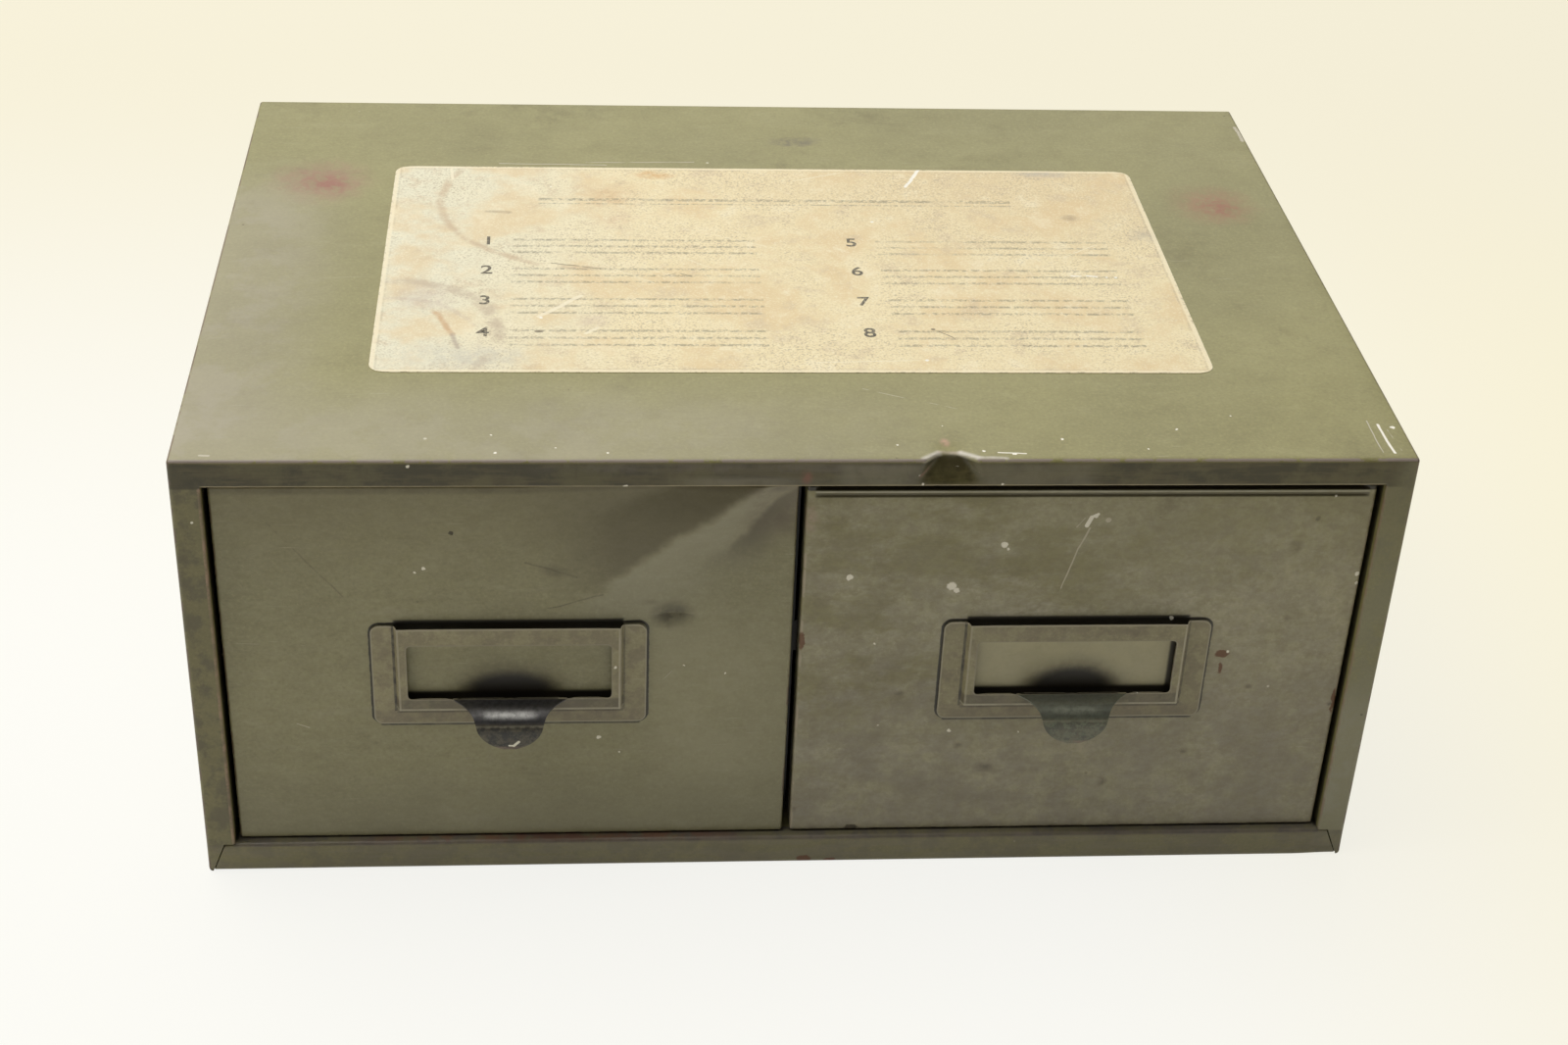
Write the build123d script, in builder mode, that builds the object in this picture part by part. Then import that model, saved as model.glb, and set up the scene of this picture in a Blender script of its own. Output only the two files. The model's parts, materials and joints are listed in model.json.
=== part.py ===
from build123d import *
import math
import os

# Steel card chest with two drawers side by side.
# Millimetres, +Z up, the drawers open towards -Y.
# The origin is the middle of the footprint, pulls included, on the surface that the chest stands on.

# Case: one sheet folded over the top and sides, with a rim folded in at the front
CASE_WIDTH = 360.0
CASE_DEPTH = 252.0
CASE_HEIGHT = 149.3
CASE_SHEET = 1.0
CASE_BEND = 1.2
RIM_TOP = 9.0
RIM_SIDE = 8.8
RIM_BOTTOM = 10.4
RIM_LIP = 8.0
OPENING_BEND = 0.8
SIDE_HEM = 12.0

# Base pan: its front flange is the bottom rim, mitred into the side rims
SEAM = 0.3
SEAM_STEP = 3.4
SEAM_FOOT = 1.8
PAN_RETURN = 12.0
TAB_LENGTH = 19.4
TAB_DEPTH = 1.0
TAB_PITCH = 80.0
TAB_COUNT = 3

# Back panel and the partition between the drawers
PANEL_FIT = 0.2
BACK_FLANGE = 12.0
PARTITION_SHEET = 1.0
PARTITION_FLANGE = 10.0

# Drawer fronts in the opening
FRONT_RECESS = 2.7
GAP_TOP = 1.0
GAP_FLOOR = 0.4
GAP_SIDE = 1.4
GAP_MIDDLE = 2.4
DRAWER_SHEET = 0.9
FRONT_RETURN = 9.0
FRONT_BEND = 1.0

# Drawer tray and its back
TRAY_INSET = 4.3
TRAY_SIDE = 72.0
TRAY_FLANGE = 3.5
TRAY_BEND = 1.2
TRAY_LIP = 11.0
BACK_DROP = 4.3
BACK_SIDE_FLANGE = 10.0
BACK_TOP_FLANGE = 6.0
BACK_CORNER = 9.0
BACK_FLANGE_INSET = 18.0
TRAY_FIT = 0.1

# Guides that hold the tray's flanges down and keep them straight
GUIDE_SHEET = 1.0
GUIDE_BEND = 1.0
GUIDE_GAP = 0.5
GUIDE_START = 2.3
GUIDE_LEG = 11.0
LIP_SHORT = 0.5

# Drawer stops: a bracket under the top, and a tilting catch on the drawer's back
STOP_SETBACK = 39.0
STOP_WIDTH = 40.0
STOP_FLANGE = 16.0
STOP_CLEAR = 1.2
CATCH_SHEET = 1.2
CATCH_PLAY = 0.2
CATCH_PIVOT_DROP = 10.0
CATCH_HEAD = 19.5
CATCH_HEAD_WIDTH = 10.0
CATCH_HEAD_ROUND = 3.3
CATCH_TAIL = 20.0
CATCH_TAIL_WIDTH = 16.0
CATCH_TAIL_ROUND = 5.3
CATCH_HUB = 7.0
CATCH_RIVET_R = 2.0
CATCH_RIVET_HEAD_R = 4.0
CATCH_RIVET_HEAD = 1.0
PIVOT_PLAY = 0.05

# Rubber buffers behind the drawers
BUFFER_LENGTH = 4.2
BUFFER_R = 6.0
BUFFER_STEM_R = 2.0
BUFFER_ROUND = 1.0
BUFFER_SPREAD = 100.0
BUFFER_HEIGHT = 45.0
RUN_GAP = 0.3

# Label holder with its finger pull, one formed plate
PULL_SHEET = 0.9
PULL_WIDTH = 81.7
PULL_HEIGHT = 35.8
PULL_CORNER = 2.7
PULL_DROP = 1.75
POCKET_WIDTH = 68.0
POCKET_RAISE = 2.0
POCKET_BOTTOM = 4.1
POCKET_BEND = 0.8
WINDOW_WIDTH = 60.8
WINDOW_HEIGHT = 19.5
WINDOW_BOTTOM = 10.3
WINDOW_CORNER = 1.4
TONGUE_ROOT = 31.6
TONGUE_NECK = 20.8
TONGUE_SHELF = 3.0
TONGUE_BEND = 6.5
TONGUE_DROP = 5.2
TONGUE_TIP_R = 9.0

# Follower rail: a lipped channel along the middle of the tray
RAIL_WIDTH = 24.0
RAIL_HEIGHT = 8.0
RAIL_SHEET = 0.8
RAIL_SLOT = 10.4
RAIL_BEND = 1.0
RAIL_END = 8.0
RAIL_RIVET_INSET = 7.0
RAIL_RIVET_R = 1.6
RAIL_RIVET_HEAD_R = 3.5
RAIL_RIVET_HEAD = 1.2
RIVET_PLAY = 0.05

# Follower: shoe in the rail, leaning plate, clamp lever on a pin
SHOE_LENGTH = 34.0
SHOE_CAP = 2.5
SHOE_CAP_WIDTH = 22.0
SHOE_CHAMFER = 0.5
FOLLOWER_SHEET = 1.0
FOLLOWER_WIDTH = 146.0
FOLLOWER_HEIGHT = 88.0
FOLLOWER_LEAN = 12.0
FOLLOWER_CORNER = 12.0
FOLLOWER_FOOT_WIDTH = 20.0
FOLLOWER_LIFT = 2.0
EAR_SHEET = 1.0
EAR_R = 5.0
PIN_R = 1.5
PIN_HEAD_R = 2.6
PIN_HEAD = 1.0
PIN_LIFT = 6.5
PIN_BACK = 4.0
LEVER_WIDTH = 9.4
LEVER_HUB_R = 4.6
LEVER_ARM = 42.0
LEVER_THICK = 3.0
LEVER_NOSE_R = 2.2
LEVER_PLAY = 0.3
THUMB_WIDTH = 18.0
THUMB_HEIGHT = 12.0
THUMB_CORNER = 4.0

# How near an edge's centre lies to the plane that it is picked by
NEAR = 0.01

# Printed label on the top
LABEL_WIDTH = 257.6
LABEL_DEPTH = 146.2
LABEL_CORNER = 5.0
LABEL_THICK = 0.2
LABEL_RIGHT = 1.4
LABEL_FROM_FRONT = 50.9

# Heights and half widths that follow from the sizes above
half_width = CASE_WIDTH / 2
inner_half = half_width - CASE_SHEET
ceiling = CASE_HEIGHT - CASE_SHEET
opening_half = half_width - RIM_SIDE
opening_top = CASE_HEIGHT - RIM_TOP
floor_top = RIM_BOTTOM
front_width = opening_half - GAP_SIDE - GAP_MIDDLE / 2
drawer_centre = (GAP_MIDDLE + front_width) / 2
front_bottom = floor_top + GAP_FLOOR
front_top = opening_top - GAP_TOP
tray_half = front_width / 2 - TRAY_INSET
tray_floor = front_bottom + DRAWER_SHEET
tray_top = front_bottom + TRAY_SIDE
tray_inner_half = tray_half - DRAWER_SHEET
guide_lip = tray_top + GUIDE_GAP + GUIDE_SHEET / 2
pull_bottom = (front_bottom + front_top) / 2 - PULL_DROP - PULL_HEIGHT / 2
window_bottom = pull_bottom + WINDOW_BOTTOM
pocket_bottom = pull_bottom + POCKET_BOTTOM
pull_top = pull_bottom + PULL_HEIGHT
back_top = opening_top - BACK_DROP
catch_height = back_top - CATCH_PIVOT_DROP
rail_top = tray_floor + RAIL_HEIGHT
shoe_top = rail_top + RUN_GAP + SHOE_CAP
foot_top = shoe_top + FOLLOWER_SHEET
pin_height = foot_top + PIN_LIFT

# Depths, from the pulls at the front to the back of the case
pocket_reach = PULL_SHEET + POCKET_RAISE
pull_reach = max(0.0, pocket_reach + TONGUE_SHELF + TONGUE_BEND - FRONT_RECESS)
case_front = pull_reach - (CASE_DEPTH + pull_reach) / 2
case_back = case_front + CASE_DEPTH
face_front = case_front + FRONT_RECESS
face_back = face_front + DRAWER_SHEET
pocket_front = face_front - pocket_reach
tongue_front = pocket_front - TONGUE_SHELF - TONGUE_BEND
panel_back = case_back - PANEL_FIT
panel_front = panel_back - CASE_SHEET
tray_back = panel_front - BUFFER_LENGTH - RUN_GAP
back_plate_front = tray_back - DRAWER_SHEET
guide_front = face_front + FRONT_RETURN + GUIDE_START
guide_back = panel_front - BACK_FLANGE - PANEL_FIT
stop_rear = case_front + STOP_SETBACK
catch_front = tray_back + CATCH_PLAY
rail_front = face_back + RAIL_END
rail_back = back_plate_front - RAIL_END
rivet_front = rail_front + RAIL_RIVET_INSET
rivet_back = rail_back - RAIL_RIVET_INSET
shoe_back = rivet_back - RAIL_RIVET_HEAD_R - RUN_GAP
shoe_front = shoe_back - SHOE_LENGTH
pin_depth = (shoe_front + shoe_back) / 2 + PIN_BACK
drawer_travel = catch_front - stop_rear - RUN_GAP
follower_travel = shoe_front - (rivet_front + RAIL_RIVET_HEAD_R + RUN_GAP)


def front_view(y, x=0.0):
    """A plane seen from the front at depth y: sketch X to the right, sketch Y up, normal to the front."""
    return Plane(origin=(x, y, 0), x_dir=(1, 0, 0), z_dir=(0, -1, 0))


def side_view(x):
    """A plane seen from the right at x: sketch X to the back, sketch Y up, normal to the right."""
    return Plane(origin=(x, 0, 0), x_dir=(0, 1, 0), z_dir=(1, 0, 0))


def top_view(z, x=0.0):
    """A level plane at height z: sketch X to the right, sketch Y to the back."""
    return Plane(origin=(x, 0, z), x_dir=(1, 0, 0), z_dir=(0, 0, 1))


def rectangle_between(low, high):
    """A rectangle from its lower left corner to its upper right one, in the sketch that is being made."""
    with Locations(((low[0] + high[0]) / 2, (low[1] + high[1]) / 2)):
        Rectangle(high[0] - low[0], high[1] - low[1])


def bent_sheet(points, bend, sheet):
    """A section of bent sheet along the line through its middle, in the sketch that is being made."""
    with BuildLine() as middle_line:
        FilletPolyline(*points, radius=bend)
    trace(middle_line.line, line_width=sheet)


def mirrored(points):
    """Points of a right half outline, followed by their mirror images in the opposite order."""
    return points + [(-x, z) for x, z in reversed(points)]


def tab_places():
    """Depths of the partition's tabs, evenly spaced about the middle of the floor."""
    middle = (case_front + case_back) / 2
    return [middle + TAB_PITCH * (index - (TAB_COUNT - 1) / 2) for index in range(TAB_COUNT)]


def make_case_shell():
    """Top, sides, top and side rims and the hems under the sides, folded from one sheet."""
    with BuildPart() as case_shell:
        with BuildSketch(front_view(case_front)):
            rectangle_between((-half_width, 0), (half_width, CASE_HEIGHT))
        extrude(amount=-CASE_DEPTH)
        fillet(case_shell.edges().filter_by(Axis.Y), radius=CASE_BEND)
        fillet(case_shell.faces().sort_by(Axis.Y)[0].edges(), radius=CASE_BEND)
        with BuildSketch(front_view(case_front + CASE_SHEET)):
            rectangle_between((-inner_half, CASE_SHEET), (inner_half, ceiling))
        extrude(amount=-CASE_DEPTH, mode=Mode.SUBTRACT)
        with BuildSketch(top_view(0)):
            hem_inner = half_width - SIDE_HEM
            rectangle_between((-hem_inner, case_front), (hem_inner, case_back))
        extrude(amount=CASE_SHEET, mode=Mode.SUBTRACT)
        with BuildSketch(front_view(case_front)):
            seam_top = opening_half + SEAM_STEP
            seam_foot = half_width - SEAM_FOOT
            with BuildLine():
                Polyline(
                    *mirrored([
                        (opening_half, opening_top), (opening_half, RIM_BOTTOM),
                        (seam_top, RIM_BOTTOM), (seam_foot, 0),
                    ]),
                    close=True,
                )
            make_face()
        extrude(amount=-CASE_SHEET, mode=Mode.SUBTRACT)
        with BuildSketch(front_view(case_front)):
            rectangle_between((-opening_half - CASE_SHEET, RIM_BOTTOM),
                              (opening_half + CASE_SHEET, opening_top + CASE_SHEET))
            with Locations((0, (RIM_BOTTOM + opening_top) / 2)):
                Rectangle(2 * opening_half, opening_top - RIM_BOTTOM, mode=Mode.SUBTRACT)
            with Locations((0, RIM_BOTTOM + CASE_SHEET / 2)):
                Rectangle(2 * opening_half, CASE_SHEET, mode=Mode.SUBTRACT)
        extrude(amount=-RIM_LIP)
        front_edges = case_shell.edges().filter_by(lambda e: abs(e.center().Y - case_front) < NEAR)
        upright = front_edges.filter_by(lambda e: abs(abs(e.center().X) - opening_half) < NEAR)
        level = front_edges.filter_by(lambda e: abs(e.center().Z - opening_top) < NEAR)
        fillet(upright + level, radius=OPENING_BEND)
    case_shell.part.label = "case_shell"
    return case_shell.part


def make_base_pan():
    """Raised floor with its front flange as the bottom rim, and flanges down at the sides and back."""
    side = inner_half - PANEL_FIT
    floor_under = floor_top - CASE_SHEET
    hem_inner = half_width - SIDE_HEM - SEAM
    with BuildPart() as base_pan:
        with BuildSketch(front_view(case_front)):
            with BuildLine():
                Polyline(
                    *mirrored([
                        (opening_half, floor_top), (opening_half, floor_top - SEAM),
                        (opening_half + SEAM_STEP - SEAM, floor_top - SEAM),
                        (half_width - SEAM_FOOT - SEAM, 0),
                    ]),
                    close=True,
                )
            make_face()
        extrude(amount=-CASE_SHEET)
        with BuildSketch(top_view(floor_under)):
            rectangle_between((-side, case_front + CASE_SHEET + SEAM), (side, panel_back))
            rectangle_between((-opening_half, case_front), (opening_half, case_front + CASE_SHEET + SEAM))
        extrude(amount=CASE_SHEET)
        with BuildSketch(top_view(CASE_SHEET)):
            for x in (-side + CASE_SHEET / 2, side - CASE_SHEET / 2):
                with Locations((x, (case_front + CASE_SHEET + SEAM + panel_back) / 2)):
                    Rectangle(CASE_SHEET, panel_back - case_front - CASE_SHEET - SEAM)
        extrude(amount=floor_under - CASE_SHEET)
        with BuildSketch(top_view(0)):
            rectangle_between((-hem_inner, case_front), (hem_inner, case_front + PAN_RETURN))
            rectangle_between((-hem_inner, panel_back - PAN_RETURN), (hem_inner, panel_back))
        extrude(amount=CASE_SHEET)
        with BuildSketch(front_view(panel_back)):
            rectangle_between((-hem_inner, 0), (hem_inner, floor_under))
            rectangle_between((-side, CASE_SHEET), (side, floor_under))
        extrude(amount=CASE_SHEET)
        with BuildSketch(top_view(floor_under)):
            with Locations(*[(0, y) for y in tab_places()]):
                Rectangle(PARTITION_SHEET + 2 * PANEL_FIT, TAB_LENGTH + 2 * PANEL_FIT)
        extrude(amount=CASE_SHEET, mode=Mode.SUBTRACT)
        front_edges = base_pan.edges().filter_by(lambda e: abs(e.center().Y - case_front) < NEAR)
        long_edges = front_edges.filter_by(Axis.X).filter_by(lambda e: e.length > opening_half)
        fillet(long_edges, radius=CASE_BEND)
    base_pan.part.label = "base_pan"
    return base_pan.part


def make_back_panel():
    """Back of the case, with flanges forward inside the top and sides and holes for the buffers' stems."""
    side = inner_half - PANEL_FIT
    top = ceiling - PANEL_FIT
    with BuildPart() as back_panel:
        with BuildSketch(front_view(panel_back)):
            rectangle_between((-side, floor_top), (side, top))
        extrude(amount=CASE_SHEET + BACK_FLANGE)
        with BuildSketch(front_view(panel_front)):
            rectangle_between((-side + CASE_SHEET, floor_top), (side - CASE_SHEET, top - CASE_SHEET))
        extrude(amount=BACK_FLANGE, mode=Mode.SUBTRACT)
        with BuildSketch(front_view(panel_back)):
            with Locations(*buffer_places()):
                Circle(BUFFER_STEM_R)
        extrude(amount=CASE_SHEET, mode=Mode.SUBTRACT)
    back_panel.part.label = "back_panel"
    return back_panel.part


def buffer_places():
    """Where the buffers sit on the back panel, a pair behind each drawer."""
    return [(hand * drawer_centre + offset, BUFFER_HEIGHT)
            for hand in (-1, 1) for offset in (-BUFFER_SPREAD / 2, BUFFER_SPREAD / 2)]


def make_rear_buffers():
    """Four rubber buttons that the drawers close against, each with a stem in the back panel."""
    with BuildPart() as rear_buffers:
        with BuildSketch(front_view(panel_front)):
            with Locations(*buffer_places()):
                Circle(BUFFER_R)
        extrude(amount=BUFFER_LENGTH)
        fillet(rear_buffers.faces().group_by(Axis.Y)[0].edges(), radius=BUFFER_ROUND)
        with BuildSketch(front_view(panel_front)):
            with Locations(*buffer_places()):
                Circle(BUFFER_STEM_R)
        extrude(amount=-CASE_SHEET)
    rear_buffers.part.label = "rear_buffers"
    return rear_buffers.part


def make_centre_partition():
    """Upright sheet between the drawers, tabbed into the floor, with a flange under the top."""
    top = ceiling - PANEL_FIT
    notch_front = panel_front - BACK_FLANGE - PANEL_FIT
    notch_top = top - CASE_SHEET - PANEL_FIT
    with BuildPart() as centre_partition:
        with BuildSketch(side_view(0)):
            rectangle_between((guide_front, floor_top), (panel_front - PANEL_FIT, notch_top))
            rectangle_between((guide_front, floor_top), (notch_front, top))
            for y in tab_places():
                rectangle_between((y - TAB_LENGTH / 2, floor_top - CASE_SHEET - TAB_DEPTH),
                                  (y + TAB_LENGTH / 2, floor_top + CASE_SHEET))
        extrude(amount=PARTITION_SHEET / 2, both=True)
        with BuildSketch(top_view(top)):
            rectangle_between((-PARTITION_SHEET / 2 - PARTITION_FLANGE, guide_front),
                              (PARTITION_SHEET / 2, notch_front))
        extrude(amount=-PARTITION_SHEET)
    centre_partition.part.label = "centre_partition"
    return centre_partition.part


def make_inner_guide(side, hand):
    """Angle on the partition whose lip holds the tray's inner flange down."""
    web = PARTITION_SHEET / 2 + GUIDE_SHEET / 2
    lip_end = drawer_centre - tray_half - LIP_SHORT
    points = [(web, guide_lip - GUIDE_LEG), (web, guide_lip), (lip_end, guide_lip)]
    with BuildPart() as inner_guide:
        with BuildSketch(front_view(guide_front)):
            bent_sheet([(hand * x, z) for x, z in points], GUIDE_BEND, GUIDE_SHEET)
        extrude(amount=-(guide_back - guide_front))
    inner_guide.part.label = f"{side}_inner_guide"
    return inner_guide.part


def make_outer_guide(side, hand):
    """Stepped strip on the case's side whose lip holds the tray's outer flange down."""
    wall = inner_half - GUIDE_SHEET / 2
    web = drawer_centre + tray_half + TRAY_FLANGE + GUIDE_GAP + GUIDE_SHEET / 2
    lip_end = drawer_centre + tray_half + LIP_SHORT
    foot = guide_lip - GUIDE_LEG
    points = [(wall, foot - GUIDE_LEG), (wall, foot), (web, foot), (web, guide_lip), (lip_end, guide_lip)]
    with BuildPart() as outer_guide:
        with BuildSketch(front_view(guide_front)):
            bent_sheet([(hand * x, z) for x, z in points], GUIDE_BEND, GUIDE_SHEET)
        extrude(amount=-(guide_back - guide_front))
    outer_guide.part.label = f"{side}_outer_guide"
    return outer_guide.part


def make_stop_bracket(side, centre):
    """Angle under the top that the drawer's catch meets when the drawer is pulled right out."""
    leg = stop_rear - CASE_SHEET / 2
    top = ceiling - CASE_SHEET / 2
    points = [(leg, opening_top + STOP_CLEAR), (leg, top), (leg - STOP_FLANGE, top)]
    with BuildPart() as stop_bracket:
        with BuildSketch(side_view(centre)):
            bent_sheet(points, GUIDE_BEND, CASE_SHEET)
        extrude(amount=STOP_WIDTH / 2, both=True)
    stop_bracket.part.label = f"{side}_stop_bracket"
    return stop_bracket.part


def make_top_label():
    """Thin printed label with rounded corners on the top of the case."""
    with BuildPart() as top_label:
        with BuildSketch(top_view(CASE_HEIGHT)):
            with Locations((LABEL_RIGHT, case_front + LABEL_FROM_FRONT + LABEL_DEPTH / 2)):
                RectangleRounded(LABEL_WIDTH, LABEL_DEPTH, LABEL_CORNER)
        extrude(amount=LABEL_THICK)
    top_label.part.label = "top_label"
    return top_label.part


def make_drawer_front(side, centre):
    """Face of the drawer, with returns folded back at its top and sides."""
    half = front_width / 2
    with BuildPart() as drawer_front:
        with BuildSketch(front_view(face_front, centre)):
            rectangle_between((-half, front_bottom), (half, front_top))
        extrude(amount=-FRONT_RETURN)
        fillet(drawer_front.edges().filter_by(Axis.Y), radius=FRONT_BEND)
        fillet(drawer_front.faces().sort_by(Axis.Y)[0].edges(), radius=FRONT_BEND)
        with BuildSketch(front_view(face_back, centre)):
            inner = half - DRAWER_SHEET
            rectangle_between((-inner, front_bottom), (inner, front_top - DRAWER_SHEET))
        extrude(amount=-FRONT_RETURN, mode=Mode.SUBTRACT)
    drawer_front.part.label = f"{side}_drawer_front"
    return drawer_front.part


def make_drawer_tray(side, centre):
    """Bottom and sides in one bent sheet, flanged outwards at the top, with lips behind the face."""
    middle = DRAWER_SHEET / 2
    wall = tray_half - middle
    low = front_bottom + middle
    high = tray_top - middle
    flange_end = tray_half + TRAY_FLANGE
    walls = [(-wall, tray_top), (-wall, low), (wall, low), (wall, tray_top)]
    channel = [(-wall, high), (-wall, low), (wall, low), (wall, high)]
    flanged = [(-flange_end, high)] + channel + [(flange_end, high)]
    with BuildPart() as drawer_tray:
        with BuildSketch(front_view(face_back, centre)):
            bent_sheet(walls, TRAY_BEND, DRAWER_SHEET)
        extrude(amount=-(guide_front - face_back))
        with BuildSketch(front_view(guide_front, centre)):
            bent_sheet(flanged, TRAY_BEND, DRAWER_SHEET)
        extrude(amount=-(tray_back - guide_front))
        with BuildSketch(front_view(face_back, centre)):
            rectangle_between((-wall, low), (wall, tray_top))
            lip_top = tray_floor + TRAY_LIP
            with Locations((0, (lip_top + tray_top) / 2)):
                Rectangle(2 * (tray_inner_half - TRAY_LIP), tray_top - lip_top, mode=Mode.SUBTRACT)
        extrude(amount=-DRAWER_SHEET)
        with BuildSketch(top_view(front_bottom, centre)):
            with Locations((0, rivet_front), (0, rivet_back)):
                Circle(RAIL_RIVET_R + RIVET_PLAY)
        extrude(amount=DRAWER_SHEET, mode=Mode.SUBTRACT)
    drawer_tray.part.label = f"{side}_drawer_tray"
    return drawer_tray.part


def make_drawer_back(side, centre):
    """Back of the drawer, flanged forward inside the tray's sides and at its top."""
    half = tray_inner_half - TRAY_FIT
    flange_bottom = tray_floor + TRAY_BEND
    flange_top = tray_top - TRAY_BEND
    with BuildPart() as drawer_back:
        with BuildSketch(front_view(tray_back, centre)) as outline:
            rectangle_between((-half, tray_floor), (half, back_top))
            fillet(outline.vertices().group_by(Axis.Y)[-1], radius=BACK_CORNER)
            fillet(outline.vertices().group_by(Axis.Y)[0], radius=TRAY_BEND)
        extrude(amount=DRAWER_SHEET)
        with BuildSketch(front_view(tray_back, centre)):
            rectangle_between((-half, flange_bottom), (-half + DRAWER_SHEET, flange_top))
            rectangle_between((half - DRAWER_SHEET, flange_bottom), (half, flange_top))
        extrude(amount=BACK_SIDE_FLANGE)
        with BuildSketch(front_view(tray_back, centre)):
            flange_half = half - BACK_FLANGE_INSET
            rectangle_between((-flange_half, back_top - DRAWER_SHEET), (flange_half, back_top))
        extrude(amount=BACK_TOP_FLANGE)
        with BuildSketch(front_view(tray_back, centre)):
            with Locations((0, catch_height)):
                Circle(CATCH_RIVET_R)
        extrude(amount=DRAWER_SHEET, mode=Mode.SUBTRACT)
    drawer_back.part.label = f"{side}_drawer_back"
    return drawer_back.part


def make_drawer_catch(side, centre):
    """Tilting catch: a narrow head above the pivot and a wide tail below, so that it hangs upright."""
    with BuildPart() as drawer_catch:
        with BuildSketch(front_view(catch_front, centre)) as outline:
            tail_half = CATCH_TAIL_WIDTH / 2
            head_half = CATCH_HEAD_WIDTH / 2
            rectangle_between((-tail_half, catch_height - CATCH_TAIL), (tail_half, catch_height))
            rectangle_between((-head_half, catch_height), (head_half, catch_height + CATCH_HEAD))
            fillet(outline.vertices().group_by(Axis.Y)[-1], radius=CATCH_HEAD_ROUND)
            fillet(outline.vertices().group_by(Axis.Y)[0], radius=CATCH_TAIL_ROUND)
            with Locations((0, catch_height)):
                Circle(CATCH_HUB)
                Circle(CATCH_RIVET_R + PIVOT_PLAY, mode=Mode.SUBTRACT)
        extrude(amount=-CATCH_SHEET)
    drawer_catch.part.label = f"{side}_drawer_catch"
    return drawer_catch.part


def make_catch_rivet(side, centre):
    """Shouldered rivet through the drawer's back that the catch swings on."""
    head_front = catch_front + CATCH_SHEET + CATCH_PLAY
    with BuildPart() as catch_rivet:
        with BuildSketch(front_view(back_plate_front, centre)):
            with Locations((0, catch_height)):
                Circle(CATCH_RIVET_HEAD_R)
        extrude(amount=CATCH_RIVET_HEAD)
        with BuildSketch(front_view(head_front, centre)):
            with Locations((0, catch_height)):
                Circle(CATCH_RIVET_R)
        extrude(amount=head_front - back_plate_front)
        with BuildSketch(front_view(head_front, centre)):
            with Locations((0, catch_height)):
                Circle(CATCH_RIVET_HEAD_R)
        extrude(amount=-CATCH_RIVET_HEAD)
        fillet(catch_rivet.faces().sort_by(Axis.Y)[-1].edges(), radius=CATCH_RIVET_HEAD / 2)
        fillet(catch_rivet.faces().sort_by(Axis.Y)[0].edges(), radius=CATCH_RIVET_HEAD / 2)
    catch_rivet.part.label = f"{side}_catch_rivet"
    return catch_rivet.part


def make_pull_plate(side, centre):
    """Label holder: a plate, a raised pocket open at its top, a window and the tongue turned out of it."""
    sheet_middle = PULL_SHEET / 2
    tip = window_bottom - TONGUE_BEND - TONGUE_DROP
    root_half = TONGUE_ROOT / 2
    neck_half = TONGUE_NECK / 2
    flare = root_half - neck_half
    with BuildPart() as pull_plate:
        with BuildSketch(side_view(centre)):
            corner = (tongue_front + sheet_middle, window_bottom - sheet_middle)
            bent_sheet([(pocket_front + PULL_SHEET, corner[1]), corner, (corner[0], tip)],
                       TONGUE_BEND - sheet_middle, PULL_SHEET)
        extrude(amount=root_half, both=True)
        with BuildSketch(top_view(tip, centre)):
            rectangle_between((-neck_half, tongue_front), (neck_half, pocket_front + PULL_SHEET))
            rectangle_between((-root_half, pocket_front - flare), (root_half, pocket_front + PULL_SHEET))
            with Locations((-root_half, pocket_front - flare), (root_half, pocket_front - flare)):
                Circle(flare, mode=Mode.SUBTRACT)
        extrude(amount=window_bottom - tip, mode=Mode.INTERSECT)
        with BuildSketch(front_view(pocket_front + PULL_SHEET, centre)) as tongue_outline:
            rectangle_between((-neck_half, tip), (neck_half, window_bottom))
            fillet(tongue_outline.vertices().group_by(Axis.Y)[0], radius=TONGUE_TIP_R)
            rectangle_between((-root_half, window_bottom - PULL_SHEET), (root_half, window_bottom))
        extrude(amount=pocket_front + PULL_SHEET - tongue_front, mode=Mode.INTERSECT)
        with BuildSketch(front_view(face_front, centre)):
            with Locations((0, pull_bottom + PULL_HEIGHT / 2)):
                RectangleRounded(PULL_WIDTH, PULL_HEIGHT, PULL_CORNER)
        extrude(amount=PULL_SHEET)
        with BuildSketch(front_view(face_front, centre)):
            rectangle_between((-POCKET_WIDTH / 2, pocket_bottom), (POCKET_WIDTH / 2, pull_top))
        extrude(amount=pocket_reach)
        pocket_edges = pull_plate.edges().filter_by(lambda e: abs(e.center().Y - pocket_front) < NEAR)
        upright = pocket_edges.filter_by(lambda e: abs(abs(e.center().X - centre) - POCKET_WIDTH / 2) < NEAR)
        level = pocket_edges.filter_by(lambda e: abs(e.center().Z - pocket_bottom) < NEAR)
        fillet(upright + level, radius=POCKET_BEND)
        with BuildSketch(front_view(face_front, centre)):
            rectangle_between((-POCKET_WIDTH / 2 + PULL_SHEET, pocket_bottom + PULL_SHEET),
                              (POCKET_WIDTH / 2 - PULL_SHEET, pull_top))
        extrude(amount=POCKET_RAISE, mode=Mode.SUBTRACT)
        with BuildSketch(front_view(face_front, centre)):
            with Locations((0, window_bottom + WINDOW_HEIGHT / 2)):
                RectangleRounded(WINDOW_WIDTH, WINDOW_HEIGHT, WINDOW_CORNER)
        extrude(amount=pocket_reach, mode=Mode.SUBTRACT)
    pull_plate.part.label = f"{side}_pull_plate"
    return pull_plate.part


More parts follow.
